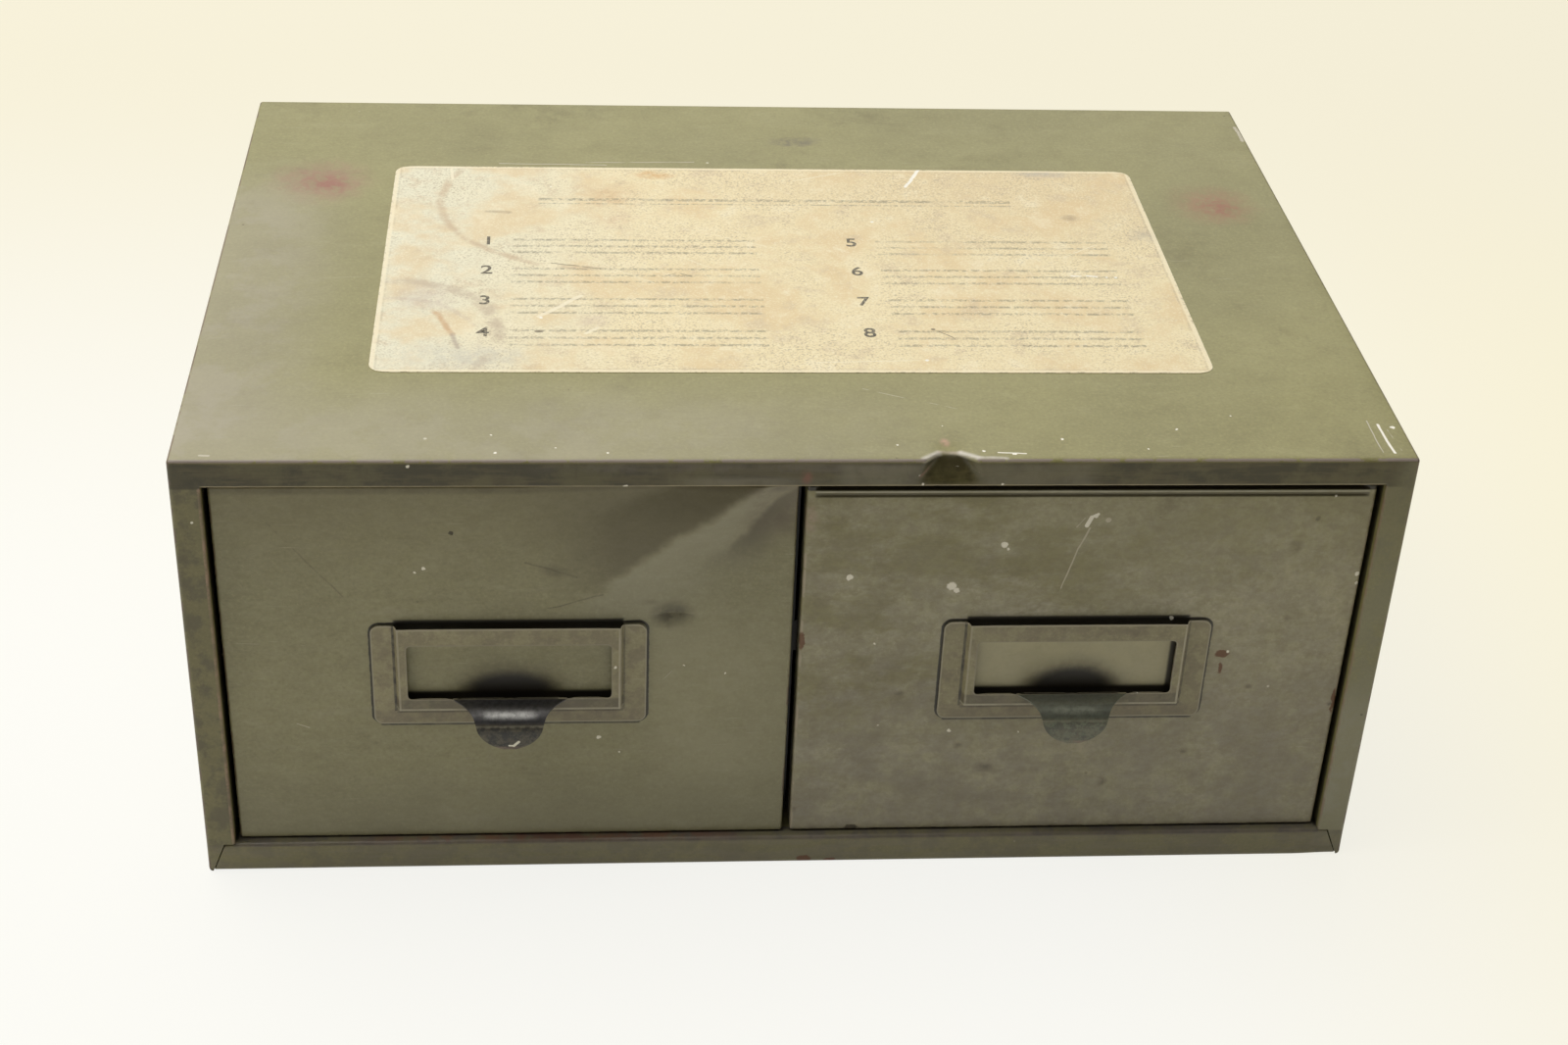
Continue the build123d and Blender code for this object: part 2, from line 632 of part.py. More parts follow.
def make_follower_rail(side, centre):
    """Lipped channel riveted along the middle of the tray."""
    middle = RAIL_SHEET / 2
    wall = RAIL_WIDTH / 2 - middle
    low = tray_floor + middle
    high = rail_top - middle
    edge = RAIL_SLOT / 2
    points = [(-edge, high), (-wall, high), (-wall, low), (wall, low), (wall, high), (edge, high)]
    with BuildPart() as follower_rail:
        with BuildSketch(front_view(rail_front, centre)):
            bent_sheet(points, RAIL_BEND, RAIL_SHEET)
        extrude(amount=-(rail_back - rail_front))
        with BuildSketch(top_view(tray_floor, centre)):
            with Locations((0, rivet_front), (0, rivet_back)):
                Circle(RAIL_RIVET_R + RIVET_PLAY)
        extrude(amount=RAIL_SHEET, mode=Mode.SUBTRACT)
    follower_rail.part.label = f"{side}_follower_rail"
    return follower_rail.part


def make_rail_rivets(side, centre):
    """Two rivets that fasten the rail and stop the shoe at either end, flush under the tray."""
    head_bottom = tray_floor + RAIL_SHEET
    with BuildPart() as rail_rivets:
        with BuildSketch(top_view(front_bottom, centre)):
            with Locations((0, rivet_front), (0, rivet_back)):
                Circle(RAIL_RIVET_R)
        extrude(amount=head_bottom - front_bottom)
        with BuildSketch(top_view(head_bottom, centre)):
            with Locations((0, rivet_front), (0, rivet_back)):
                Circle(RAIL_RIVET_HEAD_R)
        extrude(amount=RAIL_RIVET_HEAD)
        fillet(rail_rivets.faces().group_by(Axis.Z)[-1].edges(), radius=RAIL_RIVET_HEAD / 2)
    rail_rivets.part.label = f"{side}_rail_rivets"
    return rail_rivets.part


def make_follower_shoe(side, centre):
    """Block that slides in the rail: a foot under the lips, a neck through the slot and a cap above."""
    foot_half = RAIL_WIDTH / 2 - RAIL_SHEET - RUN_GAP
    foot_low = tray_floor + RAIL_SHEET + RUN_GAP
    foot_high = rail_top - RAIL_SHEET - RUN_GAP
    neck_half = RAIL_SLOT / 2 - RUN_GAP
    with BuildPart() as follower_shoe:
        with BuildSketch(front_view(shoe_front, centre)) as section:
            rectangle_between((-foot_half, foot_low), (foot_half, foot_high))
            chamfer(section.vertices(), length=SHOE_CHAMFER)
            rectangle_between((-neck_half, foot_low), (neck_half, shoe_top))
            rectangle_between((-SHOE_CAP_WIDTH / 2, rail_top + RUN_GAP), (SHOE_CAP_WIDTH / 2, shoe_top))
        extrude(amount=-SHOE_LENGTH)
    follower_shoe.part.label = f"{side}_follower_shoe"
    return follower_shoe.part


def lean_plane(centre):
    """The plane of the follower plate's front face: sketch X to the right, sketch Y up the leaning plate."""
    lean = math.radians(FOLLOWER_LEAN)
    foot = shoe_top + FOLLOWER_SHEET * math.sin(lean)
    return Plane(origin=(centre, shoe_front, foot), x_dir=(1, 0, 0),
                 z_dir=(0, -math.cos(lean), math.sin(lean)))


def make_follower_plate(side, centre):
    """Leaning plate with a foot on the shoe and two ears that carry the lever's pin."""
    ear_inner = LEVER_WIDTH / 2 + LEVER_PLAY
    with BuildPart() as follower_plate:
        with BuildSketch(lean_plane(centre)):
            rectangle_between((-FOLLOWER_FOOT_WIDTH / 2, 0),
                              (FOLLOWER_FOOT_WIDTH / 2, FOLLOWER_LIFT + FOLLOWER_SHEET))
            with Locations((0, FOLLOWER_LIFT + FOLLOWER_HEIGHT / 2)):
                RectangleRounded(FOLLOWER_WIDTH, FOLLOWER_HEIGHT, FOLLOWER_CORNER)
        extrude(amount=-FOLLOWER_SHEET)
        with BuildSketch(top_view(shoe_top, centre)):
            rectangle_between((-FOLLOWER_FOOT_WIDTH / 2, shoe_front), (FOLLOWER_FOOT_WIDTH / 2, shoe_back))
        extrude(amount=FOLLOWER_SHEET)
        for x in (centre - ear_inner - EAR_SHEET, centre + ear_inner):
            with BuildSketch(side_view(x)):
                rectangle_between((pin_depth - EAR_R, shoe_top), (pin_depth + EAR_R, pin_height))
                with Locations((pin_depth, pin_height)):
                    Circle(EAR_R)
                    Circle(PIN_R + PIVOT_PLAY, mode=Mode.SUBTRACT)
            extrude(amount=EAR_SHEET)
    follower_plate.part.label = f"{side}_follower_plate"
    return follower_plate.part


def make_follower_pin(side, centre):
    """Pin through the ears and the lever, with a head at each end."""
    head_start = LEVER_WIDTH / 2 + LEVER_PLAY + EAR_SHEET + PIVOT_PLAY
    with BuildPart() as follower_pin:
        with BuildSketch(side_view(centre)):
            with Locations((pin_depth, pin_height)):
                Circle(PIN_R)
        extrude(amount=head_start, both=True)
        for start, reach in ((centre + head_start, PIN_HEAD), (centre - head_start, -PIN_HEAD)):
            with BuildSketch(side_view(start)):
                with Locations((pin_depth, pin_height)):
                    Circle(PIN_HEAD_R)
            extrude(amount=reach)
    follower_pin.part.label = f"{side}_follower_pin"
    return follower_pin.part


def make_follower_lever(side, centre):
    """Clamp lever: a hub with a nose that presses on the foot, a leaning arm and a thumb pad."""
    lean = math.radians(FOLLOWER_LEAN)
    arm_plane = Plane(origin=(centre, pin_depth, pin_height), x_dir=(1, 0, 0),
                      z_dir=(0, -math.cos(lean), math.sin(lean)))
    nose_drop = PIN_LIFT - LEVER_PLAY - LEVER_NOSE_R
    with BuildPart() as follower_lever:
        with BuildSketch(side_view(centre)):
            with Locations((pin_depth, pin_height)):
                Circle(LEVER_HUB_R)
            with Locations((pin_depth, pin_height - nose_drop)):
                Circle(LEVER_NOSE_R)
        extrude(amount=LEVER_WIDTH / 2, both=True)
        with BuildSketch(arm_plane):
            rectangle_between((-LEVER_WIDTH / 2, 0), (LEVER_WIDTH / 2, LEVER_ARM))
            with Locations((0, LEVER_ARM - THUMB_HEIGHT / 2)):
                RectangleRounded(THUMB_WIDTH, THUMB_HEIGHT, THUMB_CORNER)
        extrude(amount=LEVER_THICK / 2, both=True)
        with BuildSketch(side_view(centre)):
            with Locations((pin_depth, pin_height)):
                Circle(PIN_R + PIVOT_PLAY)
        extrude(amount=LEVER_WIDTH, both=True, mode=Mode.SUBTRACT)
    follower_lever.part.label = f"{side}_follower_lever"
    return follower_lever.part


pieces = [
    make_case_shell(),
    make_base_pan(),
    make_back_panel(),
    make_rear_buffers(),
    make_centre_partition(),
    make_top_label(),
]
for side, hand in (("left", -1), ("right", 1)):
    centre = hand * drawer_centre
    pieces += [
        make_outer_guide(side, hand),
        make_inner_guide(side, hand),
        make_stop_bracket(side, centre),
        make_drawer_tray(side, centre),
        make_drawer_front(side, centre),
        make_drawer_back(side, centre),
        make_drawer_catch(side, centre),
        make_catch_rivet(side, centre),
        make_pull_plate(side, centre),
        make_follower_rail(side, centre),
        make_rail_rivets(side, centre),
        make_follower_shoe(side, centre),
        make_follower_plate(side, centre),
        make_follower_pin(side, centre),
        make_follower_lever(side, centre),
    ]

os.makedirs("parts", exist_ok=True)
for piece in pieces:
    export_step(piece, f"parts/{piece.label}.step")
print(f"drawer travel {drawer_travel:.2f} mm, follower travel {follower_travel:.2f} mm")
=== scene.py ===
"""Looks of the steel drawer chest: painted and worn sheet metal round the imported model.

New pieces are sheets worked out on grids of points in millimetres, put into their meshes in metres in the
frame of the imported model, given a wall, and finished with procedural materials that read object coordinates.
"""
import json
import logging
import math
from dataclasses import dataclass, field
from enum import Enum
from functools import reduce

import bmesh
import bpy
import numpy as np
from mathutils import Matrix, Vector

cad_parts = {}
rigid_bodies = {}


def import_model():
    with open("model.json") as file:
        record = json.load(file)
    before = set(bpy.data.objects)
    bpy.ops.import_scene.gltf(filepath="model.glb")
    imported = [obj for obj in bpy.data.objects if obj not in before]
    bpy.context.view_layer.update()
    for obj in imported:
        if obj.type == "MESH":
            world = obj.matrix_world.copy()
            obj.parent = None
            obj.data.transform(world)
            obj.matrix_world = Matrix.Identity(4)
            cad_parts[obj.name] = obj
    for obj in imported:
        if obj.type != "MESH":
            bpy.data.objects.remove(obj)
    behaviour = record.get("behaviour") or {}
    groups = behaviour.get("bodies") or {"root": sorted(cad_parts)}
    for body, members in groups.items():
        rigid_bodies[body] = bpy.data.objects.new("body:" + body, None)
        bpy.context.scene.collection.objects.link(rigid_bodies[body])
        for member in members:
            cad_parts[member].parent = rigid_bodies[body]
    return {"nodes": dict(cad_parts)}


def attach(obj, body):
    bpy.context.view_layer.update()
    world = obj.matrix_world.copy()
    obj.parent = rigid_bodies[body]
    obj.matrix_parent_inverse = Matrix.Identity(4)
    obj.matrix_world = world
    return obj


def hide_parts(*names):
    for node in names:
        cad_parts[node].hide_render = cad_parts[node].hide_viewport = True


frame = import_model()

for spare in [item for item in bpy.data.objects if item.name in ("Cube", "Light", "Camera")]:
    bpy.data.objects.remove(spare)
bpy.context.view_layer.update()

LOG = logging.getLogger("drawer_chest")
MM = 0.001
FOLD_STEPS = 5
MERGE = 0.002 * MM
SHARP_ANGLE = 38.0

FAR = 999.0
COARSE = (5.0, 0.68)

Socket = bpy.types.NodeSocket
Colour = tuple[float, float, float]
Value = Socket | float | Colour
Place = tuple[float, float, float]
Span = tuple[float, float, float]

RIGHT: Place = (1.0, 0.0, 0.0)
BACK: Place = (0.0, 1.0, 0.0)
FORWARD: Place = (0.0, -1.0, 0.0)
DOWN: Place = (0.0, 0.0, -1.0)

# Planes, a drawer's middle and the centre of the blow, in millimetres.
TOP_Z = 149.3
LABEL_Z = 149.46
RIM_Y = -121.15
FACE_Y = -118.45
DRAWER_X = 85.5
BLOW = (24.6, 164.8)

WORN_PURPLE: Colour = (0.330, 0.270, 0.250)
WORN_RED: Colour = (0.230, 0.095, 0.060)
# Painted highlight along the lower bend of the top rim.
RIM_BEND_HIGHLIGHT: Colour = (0.470, 0.400, 0.260)
# Near black for painted shade in gaps, slots, jambs and crevices, with dirt in some of them.
DEEP_SHADE_AND_DIRT: Colour = (0.022, 0.018, 0.012)
# Painted shade at the foot of a pocket wall.
WALL_FOOT_SHADE: Colour = (0.090, 0.074, 0.050)
# Painted highlight on the shoulder of a pocket wall.
ARRIS_HIGHLIGHT: Colour = (0.500, 0.470, 0.370)


def tinted(colour: Colour, *factors: float) -> Colour:
    """A colour with its parts times a factor each, or all times the only one."""
    return tuple(value * factor for value, factor in zip(colour, factors * (3 // len(factors))))


def ease(amount: np.ndarray) -> np.ndarray:
    """Smooth step of a share: flat at 0 and 1, three times its square less twice its cube between."""
    share = np.clip(amount, 0.0, 1.0)
    return share * share * (3.0 - 2.0 * share)


def soft_minimum(first: np.ndarray, second: np.ndarray, width: float) -> np.ndarray:
    """The smaller of two values, rounded off where they cross.

    Args:
        first: one set of values.
        second: the other set.
        width: how far from the crossing the rounding reaches.

    Returns:
        The rounded minimum: the mean less half the root of the squared difference and width.
    """
    return 0.5 * (first + second - np.sqrt((first - second) ** 2 + width**2))


def stations(low: float, high: float, step: float, *extra: float | np.ndarray) -> np.ndarray:
    """Places from low to high, evenly spaced at about step, with extra places set among them.

    Args:
        low: the first place.
        high: the last place.
        step: the usual spacing.
        extra: places, or arrays of them, that have to be met exactly.

    Returns:
        The sorted places. An even place that lies close to an extra one gives way to it.
    """
    count = max(2, int(round((high - low) / step)) + 1)
    even = np.linspace(low, high, count)
    wanted = np.concatenate([np.empty(0), *(np.atleast_1d(np.asarray(item, float)) for item in extra)])
    if wanted.size:
        distance = np.abs(even[:, None] - wanted[None, :]).min(axis=1)
        ends = np.array([low, high])
        even = np.unique(np.concatenate([even[distance > 0.35 * step], ends]))
        wanted = wanted[(np.abs(wanted - low) > 1e-9) & (np.abs(wanted - high) > 1e-9)]
    return np.unique(np.round(np.concatenate([even, wanted]), 9))


def filled(*values: float | np.ndarray) -> np.ndarray:
    """Rows of one length, where a single number fills its row."""
    return np.stack(np.broadcast_arrays(*values))


def quarter(steps: int = FOLD_STEPS) -> np.ndarray:
    """Angles from nought to a right angle, in even steps."""
    return np.linspace(0.0, math.pi / 2.0, steps + 1)


@dataclass
class Surface:
    """A sheet of quads: points (n, 3) in millimetres, and faces (m, 4) whose order sets their outer side."""

    points: np.ndarray
    faces: np.ndarray

    @staticmethod
    def from_grid(grid: np.ndarray, keep: np.ndarray | None = None, flip: bool = False) -> "Surface":
        """A sheet through a grid of points. Its outer side is the direction of columns cross rows.

        Args:
            grid: points in rows and columns, (rows, columns, 3).
            keep: which quads stay, (rows - 1, columns - 1), or None for all.
            flip: turns the outer side over.

        Returns:
            The sheet.
        """
        rows, columns = grid.shape[:2]
        number = np.arange(rows * columns).reshape(rows, columns)
        corners = [number[:-1, :-1], number[:-1, 1:], number[1:, 1:], number[1:, :-1]]
        if flip:
            corners.reverse()
        faces = np.stack(corners, axis=-1).reshape(-1, 4)
        if keep is not None:
            faces = faces[keep.ravel()]
        return Surface(grid.reshape(-1, 3), faces)

    @staticmethod
    def flat(origin: Place, across: Place, up: Place, columns: np.ndarray, rows: np.ndarray) -> "Surface":
        """A flat sheet: origin plus a column place along across plus a row place along up.

        Args:
            origin: the first point.
            across: direction of the columns' places.
            up: direction of the rows' places.
            columns: places along across.
            rows: places along up.

        Returns:
            The sheet.
        """
        grid = (np.array(origin) + columns[None, :, None] * np.array(across)
                + rows[:, None, None] * np.array(up))
        return Surface.from_grid(grid)

    def joined(self, *others: "Surface") -> "Surface":
        """This sheet and others as one, with the points renumbered.

        Args:
            others: the other sheets.

        Returns:
            One sheet.
        """
        parts = [self, *others]
        starts = np.cumsum([0] + [len(part.points) for part in parts[:-1]])
        return Surface(np.concatenate([part.points for part in parts]),
                       np.concatenate([part.faces + start for part, start in zip(parts, starts)]))


def make_piece(name: str, surface: Surface, wall: float = 0.0) -> bpy.types.Object:
    """Makes an object of a sheet: seams merged, wall added inwards, smooth except at sharp edges.

    Args:
        name: the object's name.
        surface: the outer sheet.
        wall: thickness in millimetres that is added behind the outer side, or 0 for none.

    Returns:
        The finished object, at the origin.
    """
    mesh = bpy.data.meshes.new(name)
    mesh.from_pydata((surface.points * MM).tolist(), [], surface.faces.tolist())
    work = bmesh.new()
    work.from_mesh(mesh)
    bmesh.ops.remove_doubles(work, verts=work.verts, dist=MERGE)
    bmesh.ops.dissolve_degenerate(work, edges=work.edges, dist=MERGE)
    loose = [vertex for vertex in work.verts if not vertex.link_faces]
    bmesh.ops.delete(work, geom=loose, context="VERTS")
    work.to_mesh(mesh)
    work.free()
    piece = bpy.data.objects.new(name, mesh)
    bpy.context.scene.collection.objects.link(piece)
    if wall:
        solid = piece.modifiers.new("Wall", "SOLIDIFY")
        solid.thickness = wall * MM
        solid.offset = -1.0
        solid.use_even_offset = True
        solid.use_quality_normals = True
        solid.thickness_clamp = 2.0
        finished = bpy.data.meshes.new_from_object(piece.evaluated_get(bpy.context.evaluated_depsgraph_get()))
        piece.modifiers.clear()
        piece.data = finished
        bpy.data.meshes.remove(mesh)
        finished.name = name
    piece.data.shade_smooth()
    piece.data.set_sharp_from_angle(angle=math.radians(SHARP_ANGLE))
    return piece


def dress(piece: bpy.types.Object, material: bpy.types.Material, body: str, slot: str, *nodes: str) -> None:
    """Gives a new piece its material and body, and lets it stand for its nodes.

    Args:
        piece: the new piece.
        material: its material.
        body: the body that it rides on.
        slot: the record's material slot; not used.
        nodes: the nodes that it replaces.
    """
    piece.data.materials.clear()
    piece.data.materials.append(material)
    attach(piece, body)
    if nodes:
        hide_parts(*nodes)
    faces = len(piece.data.polygons)
    LOG.info("%s: %d faces, rides on %s", piece.name, faces, body)


class Graph:
    """The nodes of a material or world, made by short calls that each return an output socket."""

    def __init__(self, owner: bpy.types.Material | bpy.types.World, coordinates: str = "Object") -> None:
        """Empties the owner's nodes and starts with its coordinates.

        Args:
            owner: the material or world.
            coordinates: the coordinates that it reads.
        """
        owner.use_nodes = True
        self.owner = owner
        self.tree = owner.node_tree
        self.tree.nodes.clear()
        self.position: Socket = self.node("ShaderNodeTexCoord").outputs[coordinates]
        self.x, self.y, self.z = self.split(self.position)
        self.noises: dict[tuple, Socket] = {}

    @staticmethod
    def material(name: str) -> "Graph":
        """Starts an empty material of this name."""
        return Graph(bpy.data.materials.new(name))

    def node(self, kind: str, *values: Value, settings: dict[str, str | bool] | None = None,
             **inputs: Value) -> bpy.types.Node:
        """Adds a node.

        Args:
            kind: the node's type.
            values: a value or socket for each of the first inputs.
            settings: the node's own settings by name.
            inputs: a value or socket for each input named.

        Returns:
            The node.
        """
        node = self.tree.nodes.new(kind)
        for name, value in (settings or {}).items():
            setattr(node, name, value)
        fed = [*zip(node.inputs, values), *((node.inputs[name], value) for name, value in inputs.items())]
        for socket, value in fed:
            self.feed(socket, value)
        return node

    def shader(self, kind: str, **inputs: Value) -> Socket:
        """Adds a node of this kind and returns its shader."""
        return self.node(kind, **inputs).outputs[0]

    def split(self, vector: Socket) -> tuple[Socket, Socket, Socket]:
        """The three parts of a vector."""
        return tuple(self.node("ShaderNodeSeparateXYZ", Vector=vector).outputs)

    def blend(self, share: Value, first: Socket, second: Socket) -> Socket:
        """Mixes two shaders by a share of the second."""
        return self.node("ShaderNodeMixShader", share, first, second).outputs[0]

    def output(self, kind: str, surface: Socket) -> None:
        """Ends the nodes with an output of this kind."""
        self.node(kind, Surface=surface)

    def feed(self, socket: Socket, value: Value) -> None:
        """Links a socket to an input, or writes a plain value into it.

        Args:
            socket: the input.
            value: a socket, a colour or a plain value.
        """
        if isinstance(value, bpy.types.NodeSocket):
            self.tree.links.new(value, socket)
        elif isinstance(value, tuple) and socket.type == "RGBA":
            socket.default_value = (*value, 1.0)
        else:
            socket.default_value = value

    def math(self, operation: str, *values: Value) -> Socket:
        """A Math node, such as ADD or MAXIMUM, of one, two or three values."""
        return self.node("ShaderNodeMath", *values, settings={"operation": operation}).outputs[0]

    def largest(self, *values: Value) -> Socket:
        """The largest of several values."""
        return reduce(lambda first, second: self.math("MAXIMUM", first, second), values)

    def product(self, *values: Value) -> Socket:
        """Several values multiplied together."""
        return reduce(lambda first, second: self.math("MULTIPLY", first, second), values)

    def minus(self, first: Value, second: Value) -> Socket:
        """The first value less the second."""
        return self.math("SUBTRACT", first, second)

    def plus(self, first: Value, second: Value) -> Socket:
        """The sum of two values."""
        return self.math("ADD", first, second)

    def away(self, first: Value, second: Value) -> Socket:
        """The size of the difference of two values."""
        return self.math("ABSOLUTE", self.minus(first, second))

    def diagonal(self, first: Socket, second: Socket) -> Socket:
        """The root of the sum of two squares."""
        return self.math("SQRT", self.plus(self.product(first, first), self.product(second, second)))

    def partly(self, noise: Socket, share: float) -> Socket:
        """A factor that is 1 less a share, plus that share of a noise."""
        return self.plus(1.0 - share, self.product(noise, share))

    def vector(self, operation: str, *values: Value, output: int = 0) -> Socket:
        """A Vector Math node. Output 1 is its number, as for LENGTH and DOT_PRODUCT."""
        return self.node("ShaderNodeVectorMath", *values, settings={"operation": operation}).outputs[output]

    def noise(self, size: float, detail: float = 3.0, roughness: float = 0.55, distortion: float = 0.0,
              position: Socket | None = None, seed: float = 0.0, output: str = "Fac") -> Socket:
        """Soft noise, as one number or as three. Asked for again, it is the same node.

        Args:
            size: feature size in millimetres.
            detail: number of finer layers.
            roughness: strength of the finer layers.
            distortion: how far the pattern is twisted.
            position: where it is read, or None for the object coordinates.
            seed: moves the pattern, so that two of one size differ.
            output: Fac for a number or Color for three of them.

        Returns:
            The noise, about 0.5 on average.
        """
        key = (size, detail, roughness, distortion, position, seed, output)
        if key in self.noises:
            return self.noises[key]
        node = self.node("ShaderNodeTexNoise", settings={"noise_dimensions": "4D"},
                         Vector=position or self.position, W=seed, Scale=1.0 / (size * MM), Detail=detail,
                         Roughness=roughness, Distortion=distortion)
        self.noises[key] = node.outputs[output]
        return self.noises[key]

    def ramp(self, value: Value, start: Value, end: Value) -> Socket:
        """A smooth rise from 0 at start to 1 at end, which may lie below start."""
        settings = {"interpolation_type": "SMOOTHSTEP", "clamp": True}
        return self.node("ShaderNodeMapRange", value, start, end, settings=settings).outputs["Result"]

    def mix(self, share: Value, first: Value, second: Value) -> Socket:
        """Mixes two colours by a share of the second.

        Args:
            share: share of the second colour.
            first: the colour under it.
            second: the colour over it.

        Returns:
            The mixed colour.
        """
        node = self.node("ShaderNodeMix", share, settings={"data_type": "RGBA", "clamp_factor": True})
        self.feed(node.inputs[6], first)
        self.feed(node.inputs[7], second)
        return node.outputs[2]

    def tone(self, under: Value, mask: Value, amount: Value, tint: Value) -> Socket:
        """Lays a tint over a colour by an amount of a mask."""
        return self.mix(self.product(mask, amount), under, tint)

    def wobble(self, size: float, amount: float, seed: float = 0.0) -> Socket:
        """The position moved by noise less a half, times twice the amount: marks get ragged outlines.

        Args:
            size: size of the noise in millimetres.
            amount: how far it moves a place, in millimetres.
            seed: moves the pattern.

        Returns:
            The moved position.
        """
        noise = self.noise(size, 2.0, 0.6, seed=seed, output="Color")
        centred = self.vector("SUBTRACT", noise, (0.5, 0.5, 0.5))
        return self.vector("ADD", self.position, self.scaled(centred, 2.0 * amount * MM))

    def scaled(self, vector: Value, factor: Value) -> Socket:
        """A vector times a number."""
        settings = {"operation": "SCALE"}
        return self.node("ShaderNodeVectorMath", vector, settings=settings, Scale=factor).outputs[0]

    def spot(self, position: Socket, centre: Place, reach: Place, edge: float = 0.3) -> Socket:
        """An oval mark: 1 inside, falling to 0 over the edge share of its reach.

        Args:
            position: where it is read, with a wobble for a ragged outline.
            centre: its middle, in metres.
            reach: its half sizes along the three axes, in metres.
            edge: share of the reach that is soft.

        Returns:
            The mark's mask.
        """
        offset = self.vector("SUBTRACT", position, centre)
        scaled = self.vector("DIVIDE", offset, reach)
        length = self.vector("LENGTH", scaled, output=1)
        return self.ramp(length, 1.0, 1.0 - edge)

    def line(self, position: Socket, start: Place, end: Place, width: float, edge: float = 0.6) -> Socket:
        """A scratch: the mask of a straight line, from the distance to the nearest point of it.

        Args:
            position: where it is read.
            start: one end, in metres.
            end: the other end, in metres.
            width: its full width, in metres.
            edge: share of the half width that is soft.

        Returns:
            The scratch's mask.
        """
        along = Vector(end) - Vector(start)
        offset = self.vector("SUBTRACT", position, tuple(start))
        share = self.math("DIVIDE", self.vector("DOT_PRODUCT", offset, tuple(along), output=1),
                          along.length_squared)
        held = self.largest(self.math("MINIMUM", share, 1.0), 0.0)
        nearest = self.vector("SUBTRACT", offset, self.scaled(tuple(along), held))
        return self.ramp(self.vector("LENGTH", nearest, output=1), 0.5 * width, 0.5 * width * (1.0 - edge))

    def stretched(self, scale: Place, turn: Place = (0.0, 0.0, 0.0),
                  position: Socket | None = None) -> Socket:
        """The position turned and scaled, so that noise read there is drawn out where the scale is small."""
        node = self.node("ShaderNodeMapping", Vector=position or self.position, Rotation=turn, Scale=scale)
        return node.outputs[0]

    def bump(self, height: Value, depth: float, under: Socket | None = None) -> Socket:
        """Raises the surface by height times depth, over an earlier bump.

        Args:
            height: height as a share of the depth.
            depth: depth in millimetres.
            under: normal of the earlier bump, or None.

        Returns:
            The bumped normal.
        """
        node = self.node("ShaderNodeBump", Strength=1.0, Distance=depth * MM, Height=height)
        if under is not None:
            self.feed(node.inputs["Normal"], under)
        return node.outputs[0]

    def finish(self, colour: Value, roughness: Value, normal: Socket | None = None, metallic: Value = 0.0,
               specular: float = 0.5) -> bpy.types.Material:
        """Ends the material with a Principled shader.

        Args:
            colour: base colour.
            roughness: roughness.
            normal: bumped normal, or None.
            metallic: share of bare metal.
            specular: strength of the paint's reflection.

        Returns:
            The material.
        """
        shader = self.node("ShaderNodeBsdfPrincipled", Roughness=roughness, Metallic=metallic)
        self.feed(shader.inputs["Base Color"], colour)
        self.feed(shader.inputs["Specular IOR Level"], specular)
        if normal is not None:
            self.feed(shader.inputs["Normal"], normal)
        self.output("ShaderNodeOutputMaterial", shader.outputs[0])
        return self.owner


@dataclass(frozen=True)
class Damage:
    """Places of the blows that the case shows, in millimetres from the chest's middle and heights."""

    notch_x: float = 42.0
    notch_push: float = 5.8
    notch_depth: float = 8.2
    notch_half: float = 7.2
    notch_dip: float = 0.12
    notch_rim: float = 2.0
    notch_slope: float = 1.25
    notch_spread: float = 0.40
    notch_fade: float = 12.0
    notch_round: float = 2.2
    notch_foot: float = 1.4
    notch_less: float = 0.30
    corner_lift: float = 0.4
    corner_from: float = 164.0
    corner_fade: float = 12.0
    corner_high: float = 9.0

    def rim_push(self, x: np.ndarray, below_top: np.ndarray, behind_front: np.ndarray) -> np.ndarray:
        """How far the top edge is knocked back.

        It is the rounded smaller of a slope down the rim and slopes to the notch's sides, with a soft foot.

        Args:
            x: places across.
            below_top: depth below the top.
            behind_front: distance behind the rim's face.

        Returns:
            The shift to the back, fading with the distance behind the face.
        """
        down = self.notch_push * (1.0 - below_top / self.notch_depth)
        side = self.notch_slope * (self.notch_half + self.notch_spread * below_top - np.abs(x - self.notch_x))
        push = soft_minimum(down, side, self.notch_round)
        push = 0.5 * (push + np.sqrt(push**2 + self.notch_foot)) - self.notch_less
        return np.maximum(push, 0.0) * ease(1.0 - behind_front / self.notch_fade)

    def foot_lift(self, x: np.ndarray, z: np.ndarray, behind_front: np.ndarray) -> np.ndarray:
        """How far the lower right corner is bent up, fading to the left, upwards and to the back."""
        return (self.corner_lift * ease((x - self.corner_from) / self.corner_fade)
                * ease(1.0 - z / self.corner_high) * ease(1.0 - behind_front / self.corner_fade))


DAMAGE = Damage()


